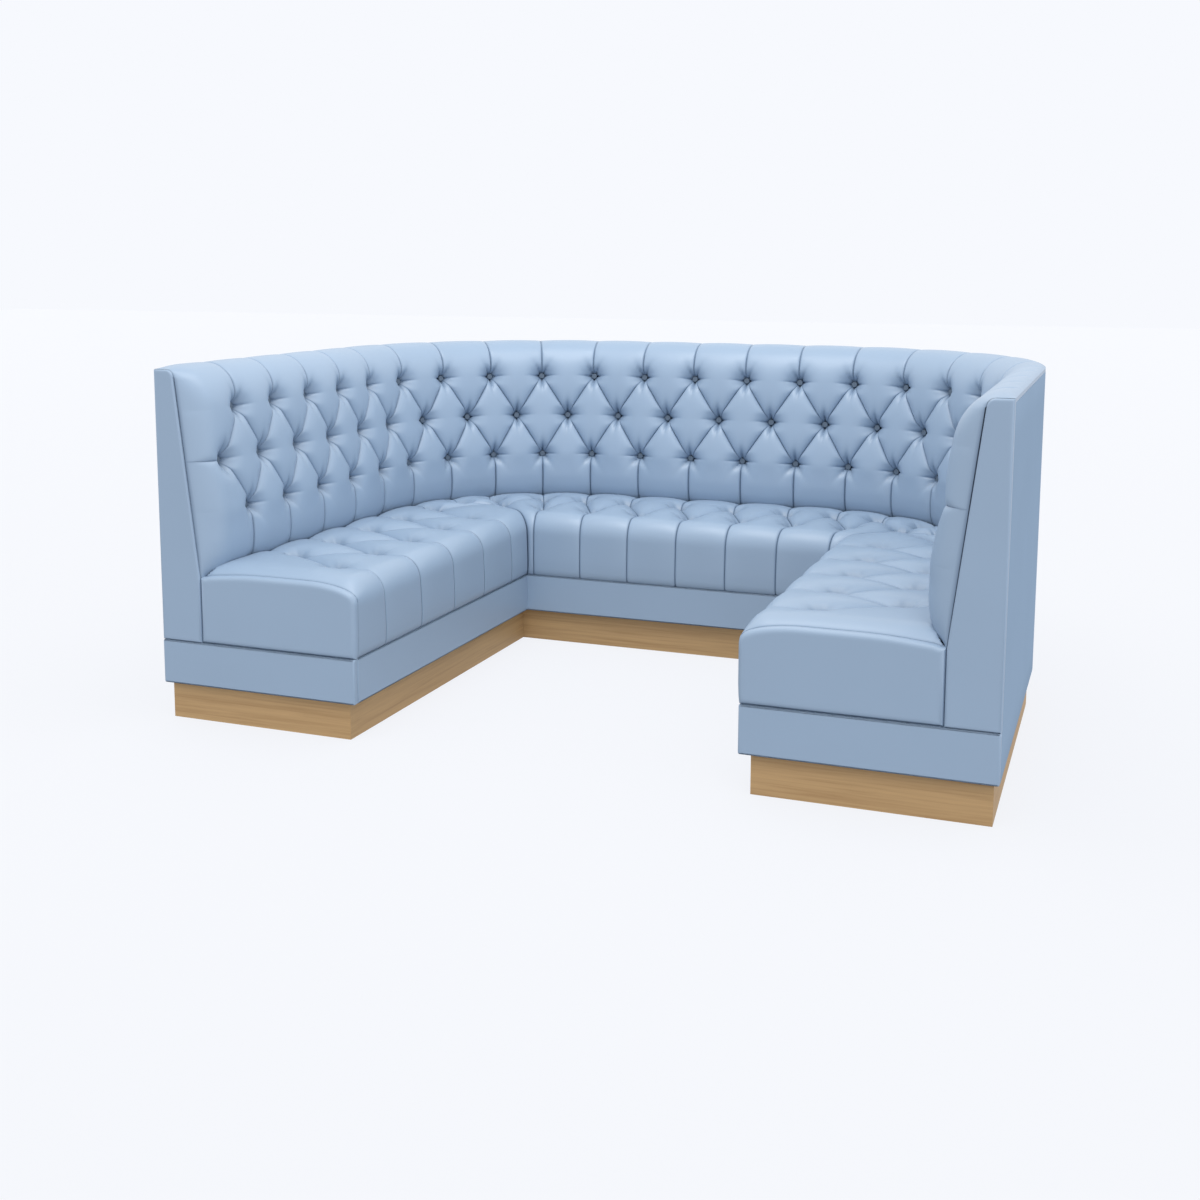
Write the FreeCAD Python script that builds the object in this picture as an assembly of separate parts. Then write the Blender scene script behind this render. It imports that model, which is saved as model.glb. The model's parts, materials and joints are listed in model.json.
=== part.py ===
"""U-shaped upholstered banquette: three modules on an oak plinth, with a deep-buttoned
back and a blind-tufted seat.

Millimetres, +Z up.  The floor is z = 0, the open side of the U faces -Y, and the origin
is in the middle of the outside sizes.  The bench is the same on both sides of x = 0.
A place on the back is given by its run, the distance along the button line from the
middle of the rear, and its inset, the distance in from the outside face.
"""
import FreeCAD, Part
import math
import os

os.makedirs("parts", exist_ok=True)
Vec = FreeCAD.Vector

# Outside sizes in plan
width = 2448.0
depth = 1896.0
arm_depth = 658.0
corner_radius = 828.0

# Heights, each one standing on the last
plinth_height = 112.0
rail_height = 134.0
apron_height = 54.0
seat_thickness = 144.0
first_row_rise = 192.0
row_spacing = 152.0
top_row_to_edge = 120.0
button_rows = 3

# Thickness of boards and covers
plinth_board = 18.0
base_board = 18.0
facing = 20.0
outside_panel = 12.0
frame_board = 18.0
deck_board = 15.0
inner_board = 9.0
top_rail_height = 28.0
top_padding = 10.0

# Plinth recess under each face, and the bearers across it
end_recess = 25.0
inner_recess = 30.0
outer_recess = 15.0
bearer_height = 70.0
arm_bearers = 4
centre_bearers = 4

# End panels of the back, thicker at the seat than at the top
panel_top = 66.0
panel_foot = 138.0
panel_corner = 22.0
board_set_back = 10.0

# Ribs, and the steel plates that join the modules under the base boards
arm_ribs = 5
centre_ribs = 5
plate_length = 140.0
plate_width = 40.0
plate_thickness = 3.0
plate_places = (0.25, 0.7)

# Gaps between pieces that only lie together
soft_gap = 0.3
curve_gap = 0.3

# Buttoned back
half_bays = 12
joint_bay = 5
low_row_proud = 30.0
middle_row_proud = 23.0
top_row_proud = 21.0
back_crown = 40.0
back_pleat = 23.0
belly_rise = 75.0
belly_crown = 26.0
foot_pleat = 12.0
foot_crown = 32.0
end_pleat_rise = 8.0
top_crown = 12.0
top_pleat = 7.0
roll_pleat = 20.0
roll_steps = 4
hem = 3.0
pleat_width = 7.0
full_span = 145.0
button_width = 22.0
button_crown = 12.0
button_crown_height = 11.5
button_rim_height = 7.8
button_neck = 4.5
button_neck_height = 1.8
button_sides = 8

# Tufted seat
arm_seams = 5
seat_end_bay = 183.0
seat_corner_bay = 145.0
centre_seams = 7
centre_corner_bay = 25.0
front_row_share = 0.25
corner_tuft_gap = 66.0
corner_pleat_gap = 3.0
front_row_spread = 1.055
rear_row_share = 0.44
rear_row_corner_share = 0.353
seat_crown = 24.0
seat_edge_crown = 14.0
seat_rear_crown = 8.0
seat_bulge = 6.0
seam_depth = 8.0
seam_width = 3.0
dimple_rise = 2.0
seat_pleat_rise = 13.0
front_roll = 60.0
front_roll_height = 43.0
front_roll_pleat = 5.0
front_roll_crown = 16.0
front_roll_facets = 2
tuck_share = 0.3

# Flat facets across one cell of the quilting
cell_facets = 4
corner_facets = 3

# Points closer than this are one point, four corners this close to a plane lie flat, and an
# arc this shallow is drawn as a line
same_point = 0.001
flat_corner = 0.0001
shallow_arc = 0.05

# Places along a seat pleat, counted from the rail face to the far end
at_rail, at_front_row, at_rear_row, at_foot, at_end = range(5)

# Places worked out from the sizes above
half_width = width / 2
half_depth = depth / 2
corner_x = half_width - corner_radius
corner_y = half_depth - corner_radius
inner_x = half_width - arm_depth
inner_y = half_depth - arm_depth
base_top = plinth_height + base_board
rail_top = plinth_height + rail_height
deck_top = rail_top + apron_height
deck_low = deck_top - deck_board
seat_line = deck_top + seat_thickness
row_heights = [seat_line + first_row_rise + row_spacing * i for i in range(button_rows)]
back_height = row_heights[2] + top_row_to_edge
frame_top = back_height - top_padding
front_row = arm_depth * front_row_share
rear_row = arm_depth * rear_row_share
rear_row_corner = arm_depth * rear_row_corner_share


def panel_inset(z):
    """Inset of the inner edge of an end panel, which leans back above the seat."""
    lean = (panel_foot - panel_top) / (back_height - seat_line)
    return panel_foot - lean * max(0.0, z - seat_line)


def board_inset(z):
    """Inset of the front face of the boards that carry the back pads."""
    return panel_inset(z) - board_set_back


row_proud = (low_row_proud, middle_row_proud, top_row_proud)
row_insets = [panel_inset(z) + proud for z, proud in zip(row_heights, row_proud)]
bend_radius = corner_radius - row_insets[1]
bend = bend_radius * math.pi / 2
mitre_run = corner_x + bend / 2
tangent_run = corner_x + bend
end_run = tangent_run + corner_y + half_depth
front_run = end_run - facing
pad_end_run = front_run - soft_gap
corner_reach = (corner_radius - rear_row_corner) * math.sqrt(0.5)
front_row_corner = corner_x + corner_reach - inner_x - corner_tuft_gap
pitch = front_run / (half_bays + 0.5)
foot_line = panel_foot + foot_crown + soft_gap


def along(run, inset, z=0.0):
    """Point at a run along the back, inset from the outside face."""
    side = 1 if run >= 0 else -1
    distance = abs(run)
    if distance < corner_x:
        x, y = distance, half_depth - inset
    elif distance < tangent_run:
        angle = (distance - corner_x) / bend_radius
        x = corner_x + (corner_radius - inset) * math.sin(angle)
        y = corner_y + (corner_radius - inset) * math.cos(angle)
    else:
        x, y = half_width - inset, corner_y - (distance - tangent_run)
    return Vec(side * x, y, z)


def button_inset(z):
    """Inset of the button line, between the rows and beyond them."""
    low = 0 if z < row_heights[1] else 1
    share = (z - row_heights[low]) / row_spacing
    return row_insets[low] + share * (row_insets[low + 1] - row_insets[low])


def line(first, last):
    return Part.LineSegment(first, last).toShape()


def ring(points):
    """Straight edges round a list of points."""
    return [line(here, there) for here, there in zip(points, points[1:] + points[:1])]


def slab(points, thickness):
    """Flat outline of points, thickened by a vector."""
    return Part.Face(Part.Wire(ring(points))).extrude(thickness)


def outline(points, low, high):
    """Upright board from its plan."""
    return slab([Vec(x, y, low) for x, y in points], Vec(0, 0, high - low))


def mirrored(shape):
    return shape.mirror(Vec(0, 0, 0), Vec(1, 0, 0))


def save(name, shape):
    shape.exportStep("parts/" + name + ".step")


def save_pair(name, shape):
    """One piece on the right arm and its mirror image on the left arm."""
    save(name + "_right", shape)
    save(name + "_left", mirrored(shape))


def stops(start, end):
    """The two runs and the ends of the corner curves between them, in order."""
    tangents = [-tangent_run, -corner_x, corner_x, tangent_run]
    return [start] + [run for run in tangents if start < run < end] + [end]


def swept(profile, start, end):
    """Board of one profile, insets and heights, that follows the back between two runs."""
    pieces = []
    for here, there in zip(stops(start, end), stops(start, end)[1:]):
        face = Part.Face(Part.Wire(ring([along(here, inset, z) for inset, z in profile])))
        middle = (abs(here) + abs(there)) / 2
        if corner_x < middle < tangent_run:
            side = 1 if there > 0 else -1
            angle = math.degrees((there - here) / bend_radius)
            pieces.append(face.revolve(Vec(side * corner_x, corner_y, 0), Vec(0, 0, 1), -angle))
        else:
            pieces.append(face.extrude(along(there, 0) - along(here, 0)))
    board = pieces[0]
    if len(pieces) > 1:
        board = board.fuse(pieces[1:]).removeSplitter()
    return board.Solids[0]


def upright(outer, inner, low, high):
    """Profile of an upright board between two insets."""
    return [(outer, low), (inner, low), (inner, high), (outer, high)]


def edges_along(start, end, inset):
    """Lines and arcs in plan along the back between two runs."""
    edges = []
    for here, there in zip(stops(start, end), stops(start, end)[1:]):
        first, last = along(here, inset), along(there, inset)
        middle = (here + there) / 2
        if corner_x < abs(middle) < tangent_run:
            edges.append(Part.Arc(first, along(middle, inset), last).toShape())
        else:
            edges.append(line(first, last))
    return edges


def inner_corner(inset):
    """Point on the right mitre, inset from the two rail faces that meet there."""
    return Vec(inner_x + inset, inner_y + inset, 0)


def arm_plate(rear, inner, front, low, high):
    """Flat board over the right arm, cut at the mitre."""
    edges = edges_along(mitre_run, end_run - front, rear)
    near = Vec(inner_x + inner, front - half_depth, 0)
    edges.append(line(along(end_run - front, rear), near))
    edges.append(line(near, inner_corner(inner)))
    edges.append(line(inner_corner(inner), along(mitre_run, rear)))
    plate = Part.Face(Part.Wire(edges)).extrude(Vec(0, 0, high - low))
    return plate.translate(Vec(0, 0, low))


def centre_plate(rear, inner, low, high):
    """Flat board over the centre module, cut at both mitres."""
    near = inner_corner(inner)
    far = Vec(-near.x, near.y, 0)
    edges = edges_along(-mitre_run, mitre_run, rear)
    edges.append(line(along(mitre_run, rear), near))
    edges.append(line(near, far))
    edges.append(line(far, along(-mitre_run, rear)))
    plate = Part.Face(Part.Wire(edges)).extrude(Vec(0, 0, high - low))
    return plate.translate(Vec(0, 0, low))


def inner_boards(name, centre_name, face, thickness, front, low, high):
    """Boards along the inside of the U, mitred where the centre meets the arms.

    face is how far they stand behind the rail faces, and front is the y of their ends.
    """
    x, y = inner_x + face, inner_y + face
    back_x, back_y = x + thickness, y + thickness
    side = [(x, front), (back_x, front), (back_x, back_y), (x, y)]
    middle = [(-x, y), (x, y), (back_x, back_y), (-back_x, back_y)]
    save_pair(name, outline(side, low, high))
    save(centre_name, outline(middle, low, high))


# Plinth: mitred oak boards, set back from every face
def plinth():
    inner = inner_x + inner_recess
    outer = half_width - outer_recess
    front = end_recess - half_depth
    centre = inner_y + inner_recess
    end = [(inner, front), (outer, front), (outer - plinth_board, front + plinth_board),
           (inner + plinth_board, front + plinth_board)]
    side = [(inner, front), (inner + plinth_board, front + plinth_board),
            (inner + plinth_board, centre + plinth_board), (inner, centre)]
    middle = [(-inner, centre), (inner, centre), (inner + plinth_board, centre + plinth_board),
              (-inner - plinth_board, centre + plinth_board)]
    save_pair("plinth_end", outline(end, 0, plinth_height))
    save_pair("plinth_inner", outline(side, 0, plinth_height))
    save("plinth_inner_centre", outline(middle, 0, plinth_height))

    profile = upright(outer_recess, outer_recess + plinth_board, 0, plinth_height)
    arm = swept(profile, mitre_run, end_run - end_recess)
    corner = [(outer - plinth_board, front), (outer, front), (outer - plinth_board, front + plinth_board)]
    save_pair("plinth_outer", arm.cut(outline(corner, 0, plinth_height)))
    save("plinth_outer_centre", swept(profile, -mitre_run, mitre_run))


# Softwood bearers across the plinth, under the base boards
def bearers():
    reach = arm_depth - inner_recess - outer_recess - 2 * plinth_board
    inset = inner_recess + plinth_board
    low = plinth_height - bearer_height

    board = Part.makeBox(reach, frame_board, bearer_height, Vec(inner_x + inset, 0, low))
    first = end_recess + plinth_board - half_depth
    step = (corner_y - first) / arm_bearers
    arm = [board.translated(Vec(0, first + step * (i + 0.5), 0)) for i in range(arm_bearers)]
    save_pair("plinth_bearers", Part.makeCompound(arm))

    board = Part.makeBox(frame_board, reach, bearer_height, Vec(-frame_board / 2, inner_y + inset, low))
    reach = corner_x - frame_board / 2
    step = 2 * reach / (centre_bearers - 1)
    centre = [board.translated(Vec(step * i - reach, 0, 0)) for i in range(centre_bearers)]
    save("plinth_bearers_centre", Part.makeCompound(centre))


# Flat boards under and over the seat ribs, and the boards behind the rails
def seat_box():
    save_pair("base_board", arm_plate(outside_panel, facing, facing, plinth_height, base_top))
    save("base_board_centre", centre_plate(outside_panel, facing, plinth_height, base_top))
    rear = board_inset(deck_top)
    save_pair("seat_deck", arm_plate(rear, facing, facing, deck_low, deck_top))
    save("seat_deck_centre", centre_plate(rear, facing, deck_low, deck_top))
    near = facing - half_depth
    inner_boards("front_board", "front_board_centre", facing, frame_board, near, base_top, deck_low)


# Upholstered rail bands over the plinth
def rails():
    near = facing - half_depth
    end = [(inner_x, -half_depth), (half_width, -half_depth), (half_width, near), (inner_x, near)]
    save_pair("rail_end", outline(end, plinth_height, rail_top))
    inner_boards("rail_inner", "rail_centre", 0, facing, near, plinth_height, rail_top)


# Steel plates under the base boards, across the two mitres
def joining_plates():
    near = inner_corner(inner_recess + plinth_board)
    far = along(mitre_run, outer_recess + plinth_board)
    plate = Part.makeBox(plate_length, plate_width, plate_thickness,
                         Vec(-plate_length / 2, -plate_width / 2, plinth_height - plate_thickness))
    plate.rotate(Vec(0, 0, 0), Vec(0, 0, 1), -45)
    right = [plate.translated(near + (far - near) * share) for share in plate_places]
    save("joining_plates", Part.makeCompound(right + [mirrored(piece) for piece in right]))


def rib(run, profile, shift):
    """Upright board square to the back; profile is insets and heights."""
    outward = along(run, 0) - along(run, 1)
    across = Vec(-outward.y, outward.x, 0)
    corner = along(run, 0) + across * (shift - frame_board / 2)
    points = [corner - outward * inset + Vec(0, 0, z) for inset, z in profile]
    return slab(points, across * frame_board)


def rib_places():
    """Run and sideways shift of each rib, on the right arm and in the centre."""
    half = frame_board / 2
    step = (front_run - half - mitre_run) / (arm_ribs - 1)
    arm = [(front_run - half - step * i, 0.0) for i in range(arm_ribs - 1)]
    arm.append((mitre_run, -half))
    step = 2 * mitre_run / (centre_ribs - 1)
    centre = [(step * i - mitre_run, 0.0) for i in range(1, centre_ribs - 1)]
    return arm, [(-mitre_run, -half)] + centre + [(mitre_run, half)]


# Tapered plywood ribs that give the back its lean
def back_ribs():
    high = frame_top - top_rail_height
    outer = outside_panel + curve_gap

    def face(z):
        return board_inset(z) - inner_board - curve_gap

    profile = [(outer, base_top), (face(base_top), base_top), (face(seat_line), seat_line),
               (face(high), high), (outer, high)]
    arm, centre = rib_places()
    save_pair("back_ribs", Part.makeCompound([rib(run, profile, shift) for run, shift in arm]))
    save("back_ribs_centre", Part.makeCompound([rib(run, profile, shift) for run, shift in centre]))


# Seat ribs under the decks, trimmed to the space between front boards and back ribs
def seat_ribs():
    front = facing + frame_board
    rear = board_inset(deck_low) - inner_board
    profile = upright(rear, corner_radius, base_top, deck_low)
    arm, centre = rib_places()
    space = arm_plate(rear, front, facing, base_top, deck_low)
    pieces = [rib(run, profile, shift).common(space) for run, shift in arm]
    save_pair("seat_ribs", Part.makeCompound(pieces))
    space = centre_plate(rear, front, base_top, deck_low)
    pieces = [rib(run, profile, shift).common(space) for run, shift in centre]
    save("seat_ribs_centre", Part.makeCompound(pieces))


# Top rail, the boards that carry the pads, and the covered outside of the back
def back_shell():
    def boards(name, profile):
        save_pair(name, swept(profile, mitre_run, front_run))
        save(name + "_centre", swept(profile, -mitre_run, mitre_run))

    rail_edge = board_inset(frame_top) - inner_board - curve_gap
    boards("top_rail", upright(outside_panel + curve_gap, rail_edge, frame_top - top_rail_height, frame_top))
    heights = [deck_top, seat_line, frame_top]
    face = [(board_inset(z), z) for z in heights]
    boards("inner_back_board", face + [(inset - inner_board, z) for inset, z in reversed(face)])
    boards("outside_back", upright(0, outside_panel, plinth_height, frame_top))


# End panels of the back, with their inner top corners rounded
def end_panels():
    def at(inset, z):
        return Vec(half_width - inset, -half_depth, z)

    below = back_height - panel_corner
    shoulder = at(panel_inset(below), below)
    crest = at(panel_top - panel_corner, back_height)
    softness = panel_corner * (1 - math.sqrt(0.5))
    turn = at(panel_top - softness, back_height - softness)
    corners = [shoulder, at(panel_foot, seat_line), at(panel_foot, rail_top), at(0, rail_top),
               at(0, back_height), crest]
    edges = [line(here, there) for here, there in zip(corners, corners[1:])]
    edges.append(Part.Arc(crest, turn, shoulder).toShape())
    save_pair("end_panel", Part.Face(Part.Wire(edges)).extrude(Vec(0, facing, 0)))


def facets(corners):
    """Flat faces over four corners: one where they lie flat, else two triangles."""
    points = []
    for corner in corners:
        if all((corner - point).Length > same_point for point in points):
            points.append(corner)
    if len(points) < 3:
        return []
    if len(points) == 4:
        first, second, third, fourth = points
        normal = (third - first).cross(fourth - second).normalize()
        if abs((second - first).dot(normal)) > flat_corner:
            if (third - first).Length < (fourth - second).Length:
                return facets([first, second, third]) + facets([first, third, fourth])
            return facets([first, second, fourth]) + facets([second, third, fourth])
    return [Part.Face(Part.Wire(ring(points)))]


def faceted_solid(sections):
    """Closed solid of flat facets through sections, each a ring of as many points."""
    faces = [Part.Face(Part.Wire(ring(sections[0]))), Part.Face(Part.Wire(ring(sections[-1])))]
    for low, high in zip(sections, sections[1:]):
        for i in range(len(low)):
            faces += facets([low[i - 1], low[i], high[i], high[i - 1]])
    shell = Part.makeCompound(faces)
    shell.sewShape()
    return Part.Solid(shell.Shells[0])


def bowed(first, crown, last):
    """Points along the arc of a cell, from its first pleat up to its last one."""
    rise = (crown - first).cross(last - first).Length / (last - first).Length
    steps = range(cell_facets)
    if rise < shallow_arc:
        return [first + (last - first) * (i / cell_facets) for i in steps]
    arc = Part.Arc(first, crown, last)
    low, high = arc.FirstParameter, arc.LastParameter
    return [arc.value(low + (high - low) * i / cell_facets) for i in steps]


def raised(span, pleat, crown):
    """Top of a cell of some span: flat under a button, and its full crown where it is wide."""
    rise = min(1.0, max(0.0, (span - button_width) / (full_span - button_width)))
    return [low + (high - low) * rise for low, high in zip(pleat, crown)]


def panel_edge(inset, z):
    """Place on the rim of an end panel that is nearest to a place beyond it."""
    level, height = panel_top - panel_corner, back_height - panel_corner
    if z < height:
        return panel_inset(z), z
    if inset < level:
        return inset, back_height
    share = panel_corner / math.hypot(inset - level, z - height)
    return level + (inset - level) * share, height + (z - height) * share


def back_sections():
    """Sections of the buttoned back from the seat up and over its top roll.

    Each is the share of the way from a vertical pleat to a button of the middle row, the
    least width of a cell, and the inset and height of pleats, crowns, arm edge and back.
    """
    def level(z, share, least, pleat, crown):
        edge = (panel_inset(z) - soft_gap, z)
        back = (board_inset(z) + soft_gap, z)
        return share, least, (pleat, z), (crown, z), edge, back

    foot = seat_line + soft_gap
    belly = seat_line + belly_rise
    sections = [
        level(foot, 0, pleat_width, panel_foot + foot_pleat, panel_foot + foot_crown),
        level(belly, 0, pleat_width, button_inset(belly), button_inset(belly) + belly_crown),
    ]
    for row, z in enumerate(row_heights):
        share = row % 2
        sections.append(level(z, share, button_width, row_insets[row], row_insets[row] + back_crown))
        for third in (1, 2):
            if row < 2:
                height = z + row_spacing * third / 3
                going = third / 3 if share == 0 else 1 - third / 3
                line_inset = button_inset(height)
                sections.append(level(height, going, pleat_width, line_inset + back_pleat,
                                      line_inset + back_crown))
    floor = row_heights[2]
    summit = panel_top / 2
    cover = frame_top + soft_gap
    for step in range(1, roll_steps + 1):
        turn = math.pi / 2 * step / roll_steps
        deep = roll_pleat + (top_pleat - roll_pleat) * step / roll_steps
        inset = summit + (row_insets[2] + back_crown - summit) * math.cos(turn)
        z = floor + (back_height + top_crown - floor) * math.sin(turn)
        pleat = (inset - deep * math.cos(turn), z - deep * math.sin(turn))
        back = (board_inset(min(z, frame_top)) + soft_gap, min(z, cover))
        if step == roll_steps:
            back = (summit / 2, cover)
        sections.append((0, pleat_width, pleat, (inset, z), panel_edge(*pleat), back))
    turn = math.pi / 4
    inset = summit * (1 - math.cos(turn))
    pleat = (inset, back_height + (top_crown - top_pleat) * math.sin(turn))
    crown = (inset, back_height + top_crown * math.sin(turn))
    sections.append((0, pleat_width, pleat, crown, (inset, back_height), (0, cover)))
    edge = (hem, back_height)
    sections.append((0, pleat_width, edge, edge, edge, (0, back_height)))
    return sections


def cell_runs(first_bay, last_bay, share, least):
    """Runs of the two pleats of each narrow cell, from one bay to another."""
    narrow = least / pitch / 2
    half = max(narrow, min(share / 2, 0.5 - narrow))
    bays = [first_bay + i for i in range(int(last_bay - first_bay) + 1)]
    return [(bay + side * half) * pitch for bay in bays for side in (-1, 1)]


def back_points(runs, pleat, crown, last, last_crown=None):
    """Points over the cells between runs; last is the inset and height of the far end."""
    ends = [pleat] * (len(runs) - 1) + [last]
    points = []
    for i in range(len(runs) - 1):
        top = raised(runs[i + 1] - runs[i], pleat, crown)
        if last_crown and i == len(runs) - 2:
            top = last_crown
        middle = along((runs[i] + runs[i + 1]) / 2, *top)
        points += bowed(along(runs[i], *ends[i]), middle, along(runs[i + 1], *ends[i + 1]))
    return points + [along(runs[-1], *last)]


def hidden_points(start, end, inset, z):
    """Points along the hidden side of a pad, back from its end run to its start."""
    points = []
    for here, there in zip(stops(start, end), stops(start, end)[1:]):
        curved = corner_x < abs(here + there) / 2 < tangent_run
        count = corner_facets if curved else 1
        points += [along(here + (there - here) * i / count, inset, z) for i in range(count)]
    return [along(end, inset, z)] + points[::-1]


# Buttoned pads of the back, joined along the pleats of a zigzag
def back_pads():
    arm, centre = [], []
    for share, least, pleat, crown, edge, back in back_sections():
        runs = cell_runs(joint_bay - 0.5, half_bays - 0.5, share, least)[1:] + [pad_end_run]
        runs[0] += soft_gap / 2
        flat_end = None
        if share == 1:
            flat_end = ((pleat[0] + edge[0]) / 2 + end_pleat_rise, pleat[1])
        arm.append(back_points(runs, pleat, crown, edge, flat_end)
                   + hidden_points(runs[0], runs[-1], *back))
        runs = cell_runs(0.5 - joint_bay, joint_bay - 0.5, share, least)
        runs[0] += soft_gap / 2
        runs[-1] -= soft_gap / 2
        centre.append(back_points(runs, pleat, crown, pleat) + hidden_points(runs[0], runs[-1], *back))
    save_pair("back_pad", faceted_solid(arm))
    save("back_pad_centre", faceted_solid(centre))


def button():
    """Covered button facing +X, tapered to its neck near the origin."""
    def polygon(radius, x):
        turns = [(i + 0.5) * 2 * math.pi / button_sides for i in range(button_sides)]
        return [Vec(x, radius * math.cos(turn), radius * math.sin(turn)) for turn in turns]

    return faceted_solid([polygon(button_neck / 2, button_neck_height),
                          polygon(button_width / 2 - soft_gap, button_rim_height),
                          polygon(button_crown / 2, button_crown_height)])


# Covered buttons, one node to a row; the middle row stands half a bay off the others
def buttons():
    shape = button()
    lean = math.degrees(math.atan((row_insets[0] - row_insets[2]) / (2 * row_spacing)))
    shape.rotate(Vec(0, 0, 0), Vec(0, 1, 0), -lean)
    for row, (z, inset) in enumerate(zip(row_heights, row_insets)):
        first = 0.5 - half_bays if row % 2 == 0 else -half_bays
        count = 2 * half_bays if row % 2 == 0 else 2 * half_bays + 1
        pieces = []
        for i in range(count):
            run = (first + i) * pitch
            inward = along(run, 1) - along(run, 0)
            piece = shape.copy()
            piece.rotate(Vec(0, 0, 0), Vec(0, 0, 1), math.degrees(math.atan2(inward.y, inward.x)))
            pieces.append(piece.translate(along(run, inset, z)))
        save("buttons_row_" + str(row + 1), Part.makeCompound(pieces))


def on_pleat(pleat, place):
    """Point in plan at a place along a seat pleat."""
    low = min(max(math.floor(place), at_rail), at_foot)
    return pleat[low] + (pleat[low + 1] - pleat[low]) * (place - low)


def rear_points(run):
    """Rear dimple, foot line and end of a pleat; the dimples come closer in the corners."""
    turn = min(1.0, abs(abs(run) - mitre_run) / (bend / 2))
    inset = rear_row_corner + (rear_row - rear_row_corner) * turn
    return [along(run, inset), along(run, foot_line), along(run, panel_foot + soft_gap)]


def straight_pleat(y):
    """Seat pleat straight across the right arm."""
    insets = (rear_row, foot_line, panel_foot + soft_gap)
    xs = [inner_x, inner_x + front_row] + [half_width - inset for inset in insets]
    return [Vec(x, y, 0) for x in xs]


def shifted(points, offset):
    return [point + offset for point in points]


def flipped(points):
    return [Vec(-point.x, point.y, point.z) for point in points]


def mitre_pleat(side, corner_row):
    """Pleat along the right mitre, half a gap to one side of it."""
    offset = Vec(1, -1, 0).normalize() * (side * soft_gap / 2)
    return shifted([inner_corner(0), inner_corner(corner_row)] + rear_points(mitre_run), offset)


def arm_pleats():
    """Pleats of the right seat pad, from its front end to the mitre.

    Each seam has two, which lie together at the front and part behind the front row.
    """
    half_seam = Vec(0, seam_width / 2, 0)
    step = (inner_y + half_depth - seat_end_bay - seat_corner_bay) / (arm_seams - 1)
    seams = [seat_end_bay - half_depth + step * i for i in range(arm_seams)]
    fronts = [straight_pleat(y)[:2] for y in seams]
    rears = [straight_pleat((here + there) / 2)[2:] for here, there in zip(seams, seams[1:])]
    rears += [rear_points((joint_bay + 1.5) * pitch), rear_points((joint_bay + 0.5) * pitch)]
    pleats = [straight_pleat(facing + soft_gap - half_depth), fronts[0] + shifted(rears[0], -half_seam)]
    for i in range(1, arm_seams):
        pleats.append(shifted(fronts[i], -half_seam) + shifted(rears[i - 1], half_seam))
        pleats.append(shifted(fronts[i], half_seam) + shifted(rears[i], -half_seam))
    mitre = mitre_pleat(1, front_row_corner)
    beside = Vec(0, -corner_pleat_gap, 0)
    pleats.append(shifted(mitre[:2], beside * 2) + shifted(rears[-2], half_seam))
    pleats.append(shifted(mitre[:2], beside) + rears[-1])
    return pleats + [mitre]


def centre_pleats():
    """Pleats of the centre seat pad, from the left mitre to the right one."""
    half_seam = Vec(seam_width / 2, 0, 0)
    step = 2 * (inner_x - centre_corner_bay) / (centre_seams - 1)
    seams = [step * (i - (centre_seams - 1) / 2) for i in range(centre_seams)]
    rears = [rear_points((i - centre_seams / 2) * pitch) for i in range(centre_seams + 1)]
    mitre = mitre_pleat(-1, front_row_corner)
    beside = shifted(mitre[:2], Vec(-corner_pleat_gap, 0, 0)) + shifted(rears[-1], half_seam)
    pleats = [flipped(mitre), flipped(beside)]
    for i, x in enumerate(seams):
        front = [Vec(x, inner_y, 0), Vec(x * front_row_spread, inner_y + front_row, 0)]
        pleats.append(shifted(front, -half_seam) + shifted(rears[i], half_seam))
        pleats.append(shifted(front, half_seam) + shifted(rears[i + 1], -half_seam))
    return pleats + [beside, mitre]


def seat_sections():
    """Place and height of pleats, crowns, front end and hidden side of a seat pad.

    They start under the front edge, go over the roll and both rows, and end at the back.
    """
    def place(distance):
        return distance / front_row

    apron = rail_top + soft_gap
    deck = deck_top + soft_gap
    under = place(facing - soft_gap)
    dimple = seat_line + dimple_rise
    crown = seat_line + seat_crown
    edge = seat_line + seat_edge_crown
    pleat = seat_line + seat_pleat_rise
    shoulder = seat_line - front_roll_height
    sections = [
        ((at_rail, apron), (at_rail, apron), (at_rail, apron), (under, apron)),
        ((place(seam_depth / 2), deck), (-place(seat_bulge), deck), (-place(seat_bulge / 2), deck),
         (under, deck)),
    ]
    for step in range(front_roll_facets + 1):
        turn = math.pi / 2 * step / front_roll_facets
        profile = []
        for reach, rise in ((-seam_depth, front_roll_pleat), (seat_bulge, front_roll_crown),
                            (seat_bulge / 2, front_roll_pleat)):
            distance = front_roll - (front_roll + reach) * math.cos(turn)
            profile.append((place(distance), shoulder + (front_roll_height + rise) * math.sin(turn)))
        sections.append(tuple(profile) + ((under * (1 + step), deck),))
    between = (at_front_row + at_rear_row) / 2
    behind = (at_rear_row + at_foot) / 2
    for at, low, high, end in (
            (at_front_row, dimple, crown, edge),
            (between, pleat, crown, edge),
            (at_rear_row, dimple, crown, edge),
            (behind, seat_line + seat_rear_crown / 2, seat_line + 2 * seat_rear_crown,
             seat_line + seat_rear_crown),
            (at_foot, seat_line, seat_line, seat_line)):
        sections.append(((at, low), (at, high), (at, end), (at, deck)))
    last, tucked = (at_end, seat_line), (at_end, deck)
    sections.append((last, last, last, (at_foot + tuck_share, deck)))
    sections.append((tucked, tucked, tucked, (at_foot + 2 * tuck_share, deck)))
    return sections


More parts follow.
